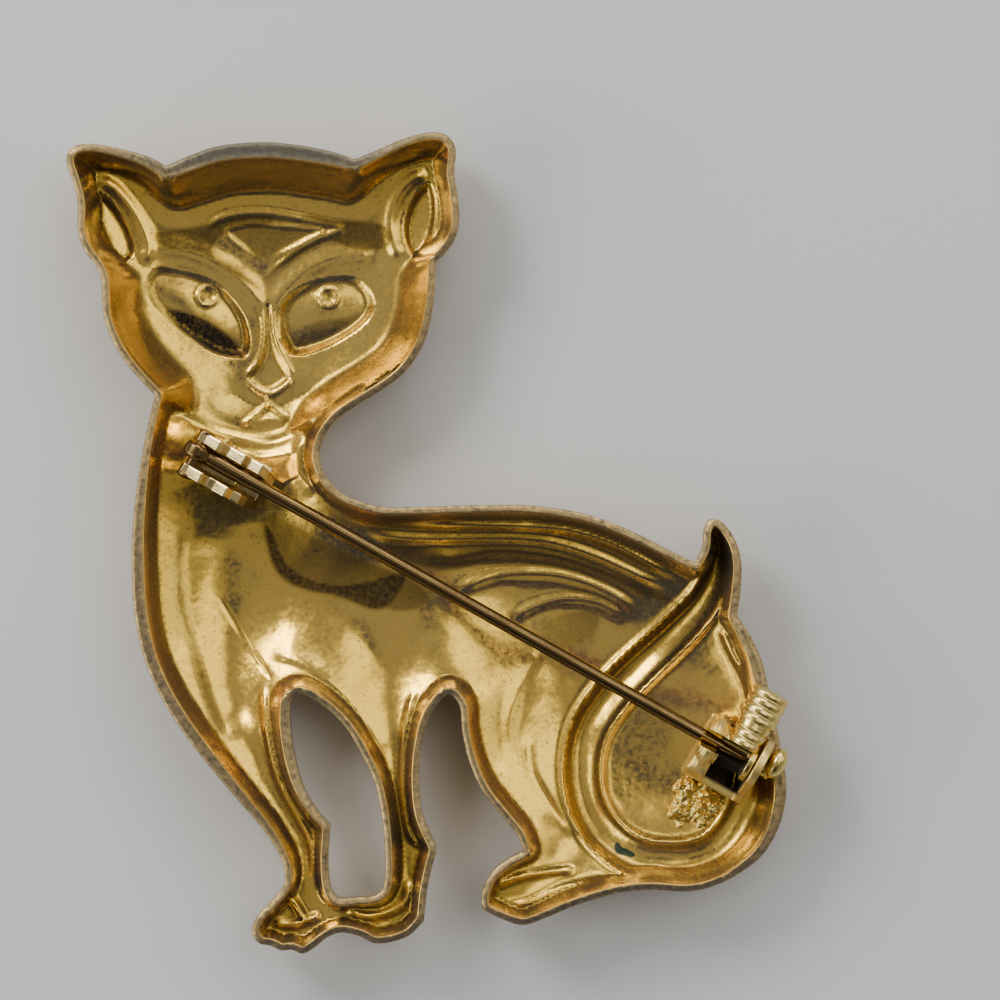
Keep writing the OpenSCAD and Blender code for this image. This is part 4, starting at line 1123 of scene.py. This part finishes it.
def struck_gilt():
    """Brass sheet, struck and gilt: an even mirror with a fine orange-peel grain, brown specks where the gilt
    is thin, a greener filed rim, dull rough places round the solder, and painted shade on the walls, in the
    creases and in dark patches."""
    finish = finishes()
    material, tree, where = start_material("brass, struck and gilt")
    wall, patina_and_shade, rim, crown, heat, green = (
        add_node(tree, "Attribute", out="Fac", attribute_name=name)
        for name in ("wall", "patina_and_shade", "rim", "crown", "heat", "verdigris"))
    # Patterns, each with its size in mm, its detail and how broken it is
    tone, speck, pinholes, filings, grit, peel, hand = (
        add_node(tree, "TexNoise", {
            "Vector": where, "Scale": per(size), "Detail": detail, "Roughness": breakup})
        for size, detail, breakup in (
            (5, 5, 0.6), (mm(finish.pit), 4, 0.7), (0.15, 2, 0.5), (0.35, 5, 0.75), (0.5, 6, 0.75),
            (mm(finish.grain), 3, 0.55), (1.3, 2, 0.5)))
    # Each pattern between two of its values, spread over a share of colour or roughness
    dark, pitted, film, bare, blotch, bloom, haze = (
        add_node(tree, "MapRange", {"Value": value, "From Min": a, "From Max": b, "To Min": c, "To Max": d})
        for value, a, b, c, d in (
            (speck, 0.6, 0.7, 0, 0.75), (pinholes, 0.64, 0.7, 0, 0.6), (speck, 0.36, 0.56, 0.82, 1),
            (filings, 0.38, 0.66, 0, 1), (grit, 0.4, 0.6, 0.15, 1), (green, 0.35, 0.6, 0, 1),
            (speck, 0.35, 0.75, finish.roughness, 0.32)))
    marks = add_node(tree, "Math", {0: dark, 1: pitted}, operation="MAXIMUM")
    # Near-black brown where the patina mask is strong, broken up by the specks: patina and painted shade
    dark_patina_and_shade = add_node(tree, "Math", {0: patina_and_shade, 1: film}, operation="MULTIPLY")
    patch = add_node(tree, "Math", {0: heat, 1: blotch}, operation="MULTIPLY")
    gold = add_node(tree, "Mix", {"Factor": crown, UNDER: "#B09258", OVER: "#66604F"}, data_type="RGBA")
    edge = add_node(tree, "Mix", {"Factor": bare, UNDER: gold, OVER: "#584B2D"}, data_type="RGBA")
    # Coats from the gilt up: painted shade on the leaning walls, specks, patina with painted shade and dark
    # reflection, the filed rim, burnt places and verdigris
    colour = finish.thin_gilt
    for share, coat in ((tone, finish.thick_gilt), (wall, "#BFA24A"), (marks, "#6E4B22"), (dark_patina_and_shade, "#20140A"),
                        (rim, edge), (patch, "#54421F"), (bloom, "#162E0E")):
        colour = add_node(tree, "Mix", {"Factor": share, UNDER: colour, OVER: coat}, data_type="RGBA")
    metal = add_node(tree, "Math", {0: 1, 1: bloom}, operation="SUBTRACT")
    rough = haze
    for value, share in ((rim, 0.2), (dark_patina_and_shade, 0.2), (patch, 0.4)):
        rough = add_node(tree, "Math", {0: value, 1: share, 2: rough}, operation="MULTIPLY_ADD")
    # Orange peel, dents left by hand work, and crusted solder, each with its strength and depth in mm
    bump = {}
    for height, strength, depth in ((peel, 0.5, 0.004), (hand, 0.8, 0.045), (patch, 0.8, 0.15)):
        bump = {"Normal": add_node(tree, "Bump", {
            "Height": height, "Strength": strength, "Distance": depth * MM, **bump})}
    covered = add_node(tree, "Math", {0: dark_patina_and_shade, 1: bloom}, operation="MAXIMUM")
    shade = add_node(tree, "Math", {0: wall, 1: covered}, operation="MAXIMUM")
    veil = add_node(tree, "MapRange", {"Value": shade, "To Min": 0.12, "To Max": 0.03})
    finish_material(tree, {
        "Base Color": colour, "Metallic": metal, "Roughness": rough, "Sheen Weight": veil,
        "Sheen Roughness": 0.9, "Sheen Tint": "#E6EAF2", **bump})
    return material


def burnished_gilt():
    """Brass, struck, gilt and burnished on the side that shows in wear: a bright soft mirror."""
    finish = finishes()
    material, tree, where = start_material("brass, gilt and burnished")
    tone = add_node(tree, "TexNoise", {"Vector": where, "Scale": per(4), "Detail": 4})
    hue = add_node(tree, "Mix", {
        "Factor": tone, UNDER: finish.thin_gilt, OVER: finish.thick_gilt}, data_type="RGBA")
    rub = add_node(tree, "TexNoise", {"Vector": where, "Scale": per(0.7), "Detail": 5})
    rough = add_node(tree, "MapRange", {
        "Value": rub, "From Min": 0.3, "From Max": 0.7, "To Min": 0.1, "To Max": 0.24})
    bump = add_node(tree, "Bump", {"Height": rub, "Strength": 0.15, "Distance": 0.02 * MM})
    finish_material(tree, {"Base Color": hue, "Metallic": 1, "Roughness": rough, "Normal": bump})
    return material


def fitting_gilt(name, dark, light, polish, veil):
    """Brass or solder under flash gilt: a paler, softer shine than the sheet, with painted shade in the
    hollows of the catch. Cast parts are the dullest, turned ones brighter, and rolled strip is palest and
    smoothest."""
    material, tree, where = start_material(name)
    tone = add_node(tree, "TexNoise", {"Vector": where, "Scale": per(0.6), "Detail": 6, "Roughness": 0.65})
    clean = add_node(tree, "Mix", {"Factor": tone, UNDER: dark, OVER: light}, data_type="RGBA")
    inner_shade = add_node(tree, "Attribute", out="Fac", attribute_name="inner_shade")
    # Dark brown inside the catch and the roller's bore: painted shade
    hue = add_node(tree, "Mix", {"Factor": inner_shade, UNDER: clean, OVER: "#2E231A"}, data_type="RGBA")
    rough = add_node(tree, "MapRange", {
        "Value": tone, "From Min": 0.3, "From Max": 0.7, "To Min": 2 * polish, "To Max": polish})
    bump = add_node(tree, "Bump", {"Height": tone, "Strength": 0.14, "Distance": 0.03 * MM})
    finish_material(tree, {
        "Base Color": hue, "Metallic": 1, "Roughness": rough, "Normal": bump, "Sheen Weight": veil,
        "Sheen Roughness": 0.9, "Sheen Tint": "#F2E8CE"})
    return material


def drawn_steel():
    """Steel wire, drawn and darkened by handling: grey-brown with fine lines along it."""
    finish = finishes()
    material, tree, where = start_material("steel wire, drawn")
    hinge, catch = place([HINGE_AT, CATCH_AT])
    lie = -math.atan2(catch[1] - hinge[1], catch[0] - hinge[0])
    along = add_node(tree, "Mapping", {"Vector": where, "Rotation": (0, 0, lie), "Scale": (0.06, 1, 1)})
    lines = add_node(tree, "TexNoise", {"Vector": along, "Scale": per(0.12), "Detail": 5, "Roughness": 0.6})
    patches = add_node(tree, "TexNoise", {"Vector": where, "Scale": per(1.6), "Detail": 5})
    hue = add_node(tree, "Mix", {
        "Factor": patches, UNDER: finish.dark_steel, OVER: finish.light_steel}, data_type="RGBA")
    rough = add_node(tree, "MapRange", {
        "Value": patches, "From Min": 0.3, "From Max": 0.7, "To Min": 0.3, "To Max": 0.16})
    bump = add_node(tree, "Bump", {"Height": lines, "Strength": 0.3, "Distance": 0.02 * MM})
    finish_material(tree, {"Base Color": hue, "Metallic": 1, "Roughness": rough, "Normal": bump})
    return material


def studio_paper():
    """Uncoated pale paper under the brooch: matt, with a faint tooth."""
    material, tree, where = start_material("paper, uncoated")
    tooth = add_node(tree, "TexNoise", {"Vector": where, "Scale": per(0.4), "Detail": 4})
    bump = add_node(tree, "Bump", {"Height": tooth, "Strength": 0.1, "Distance": 0.02 * MM})
    finish_material(tree, {"Base Color": finishes().paper, "Roughness": 0.85, "Normal": bump})
    return material


def dark_card():
    """Black card round the camera and behind the object: what the gilt mirrors as brown shade."""
    material, tree, _ = start_material("card, black")
    finish_material(tree, {"Base Color": "#2A2C30", "Roughness": 0.9})
    return material


def add_piece(mesh, body, node, slot, *materials):
    """A piece that rides on a body, stands for a node and takes the given materials. The slot is not used."""
    obj = new_object(mesh.name, mesh, *materials)
    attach(obj, body)
    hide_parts(node)


def add_card(name, centre, size, material):
    """A flat sheet of the studio, with its middle and size in mm."""
    mesh = bpy.data.meshes.new(name)
    x, y = size[0] * MM / 2, size[1] * MM / 2
    mesh.from_pydata([(-x, -y, 0), (x, -y, 0), (x, y, 0), (-x, y, 0)], [], [(0, 1, 2, 3)])
    card = new_object(name, mesh, material)
    card.location = Vector(centre) * MM


class BROOCH_OT_sheet(bpy.types.Operator):
    """Builds the struck cat sheet with its filed rim, hollow back and face"""

    bl_idname = "brooch.sheet"
    bl_label = "Struck cat"

    def execute(self, context):
        add_piece(build_sheet(), "brooch", "cat_body", "gilt_casting", struck_gilt(), burnished_gilt())
        return {"FINISHED"}


class BROOCH_OT_fittings(bpy.types.Operator):
    """Builds the hinge with its rivet and pin, and the catch with its roller"""

    bl_idname = "brooch.fittings"
    bl_label = "Hinge, pin and catch"

    def execute(self, context):
        cast = fitting_gilt("brass, cast and flash gilt", "#C8A04A", "#F4DC80", 0.24, 0.08)
        turned = fitting_gilt("brass, turned and flash gilt", "#BE9A44", "#F2DA84", 0.15, 0.05)
        strip = fitting_gilt("brass strip, rolled and flash gilt", "#E8C87E", "#F6DFA0", 0.12, 0)
        run_solder = fitting_gilt("solder, run and flash gilt", "#B4943E", "#F0D678", 0.2, 0.08)
        steel = drawn_steel()
        ears, hinge_solder = build_hinge()
        cheeks, catch_solder = build_catch()
        for mesh, material in (
                (ears, strip), (hinge_solder, run_solder), (cheeks, cast), (catch_solder, run_solder)):
            add_piece(mesh, "brooch", "cat_body", "gilt_casting", material)
        add_piece(build_roller(), "roller", "catch_roller", "gilt_turned", turned)
        add_piece(build_rivet(), "brooch", "hinge_rivet", "rivet_wire", steel)
        add_piece(build_stem(), "stem", "pin_stem", "pin_wire", steel)
        return {"FINISHED"}


class BROOCH_OT_studio(bpy.types.Operator):
    """Lays the pale paper, hangs the soft boxes and the dark cards, and sets the camera above the brooch"""

    bl_idname = "brooch.studio"
    bl_label = "Studio"

    def execute(self, context):
        studio = context.scene.brooch_studio
        world = bpy.data.worlds.new("studio")
        world.use_nodes = True
        background = world.node_tree.nodes["Background"]
        background.inputs["Color"].default_value = linear(ROOM_COLOUR)
        background.inputs["Strength"].default_value = ROOM_LIGHT
        context.scene.world = world
        black = dark_card()
        add_card("paper", (0, 0, -0.05), (600, 600), studio_paper())
        add_card("camera_card", (-2, 31, 620), (128, 166), black)
        add_card("shade_card", (-20, -400, 340), (520, 540), black)
        for name, spot, size, power in SOFT_BOXES:
            light = bpy.data.lights.new(name, "AREA")
            light.shape = "RECTANGLE"
            light.size, light.size_y = size[0] * MM, size[1] * MM
            light.energy = power
            box = bpy.data.objects.new(name, light)
            context.scene.collection.objects.link(box)
            box.location = Vector(spot) * MM
            box.rotation_euler = (-Vector(spot)).to_track_quat("-Z", "Y").to_euler()
        lens = bpy.data.cameras.new("camera")
        lens.sensor_width = SENSOR
        lens.lens = SENSOR * studio.distance / studio.picture
        lens.clip_start, lens.clip_end = 0.01, 10
        camera = bpy.data.objects.new("camera", lens)
        camera.location = (studio.centre_x, studio.centre_y, settings().depth + studio.distance)
        context.scene.collection.objects.link(camera)
        context.scene.camera = camera
        return {"FINISHED"}


class BROOCH_PT_panel(bpy.types.Panel):
    """Sizes of the brooch and the steps that build it"""

    bl_idname = "BROOCH_PT_panel"
    bl_label = "Cat Brooch"
    bl_space_type = "VIEW_3D"
    bl_region_type = "UI"
    bl_category = "Brooch"

    def draw(self, context):
        scene = context.scene
        for step in STEPS:
            self.layout.operator(step.bl_idname)
        for title, group in (("Cat", scene.brooch_cat), ("Fittings", scene.brooch_fittings),
                             ("Finish", scene.brooch_finish), ("Studio", scene.brooch_studio)):
            box = self.layout.box()
            box.label(text=title)
            for key in group.__annotations__:
                box.prop(group, key)


STEPS = (BROOCH_OT_sheet, BROOCH_OT_fittings, BROOCH_OT_studio)
GROUPS = {
    "brooch_cat": BroochCat,
    "brooch_fittings": BroochFittings,
    "brooch_finish": BroochFinish,
    "brooch_studio": BroochStudio,
}


def register():
    for part in (*GROUPS.values(), *STEPS, BROOCH_PT_panel):
        bpy.utils.register_class(part)
    for name, group in GROUPS.items():
        setattr(bpy.types.Scene, name, PointerProperty(type=group))


def unregister():
    for name in GROUPS:
        delattr(bpy.types.Scene, name)
    for part in (BROOCH_PT_panel, *reversed(STEPS), *reversed(GROUPS.values())):
        bpy.utils.unregister_class(part)


def main():
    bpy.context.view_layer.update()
    register()
    for step in STEPS:
        group, name = step.bl_idname.split(".")
        getattr(getattr(bpy.ops, group), name)()


if __name__ == "__main__":
    main()
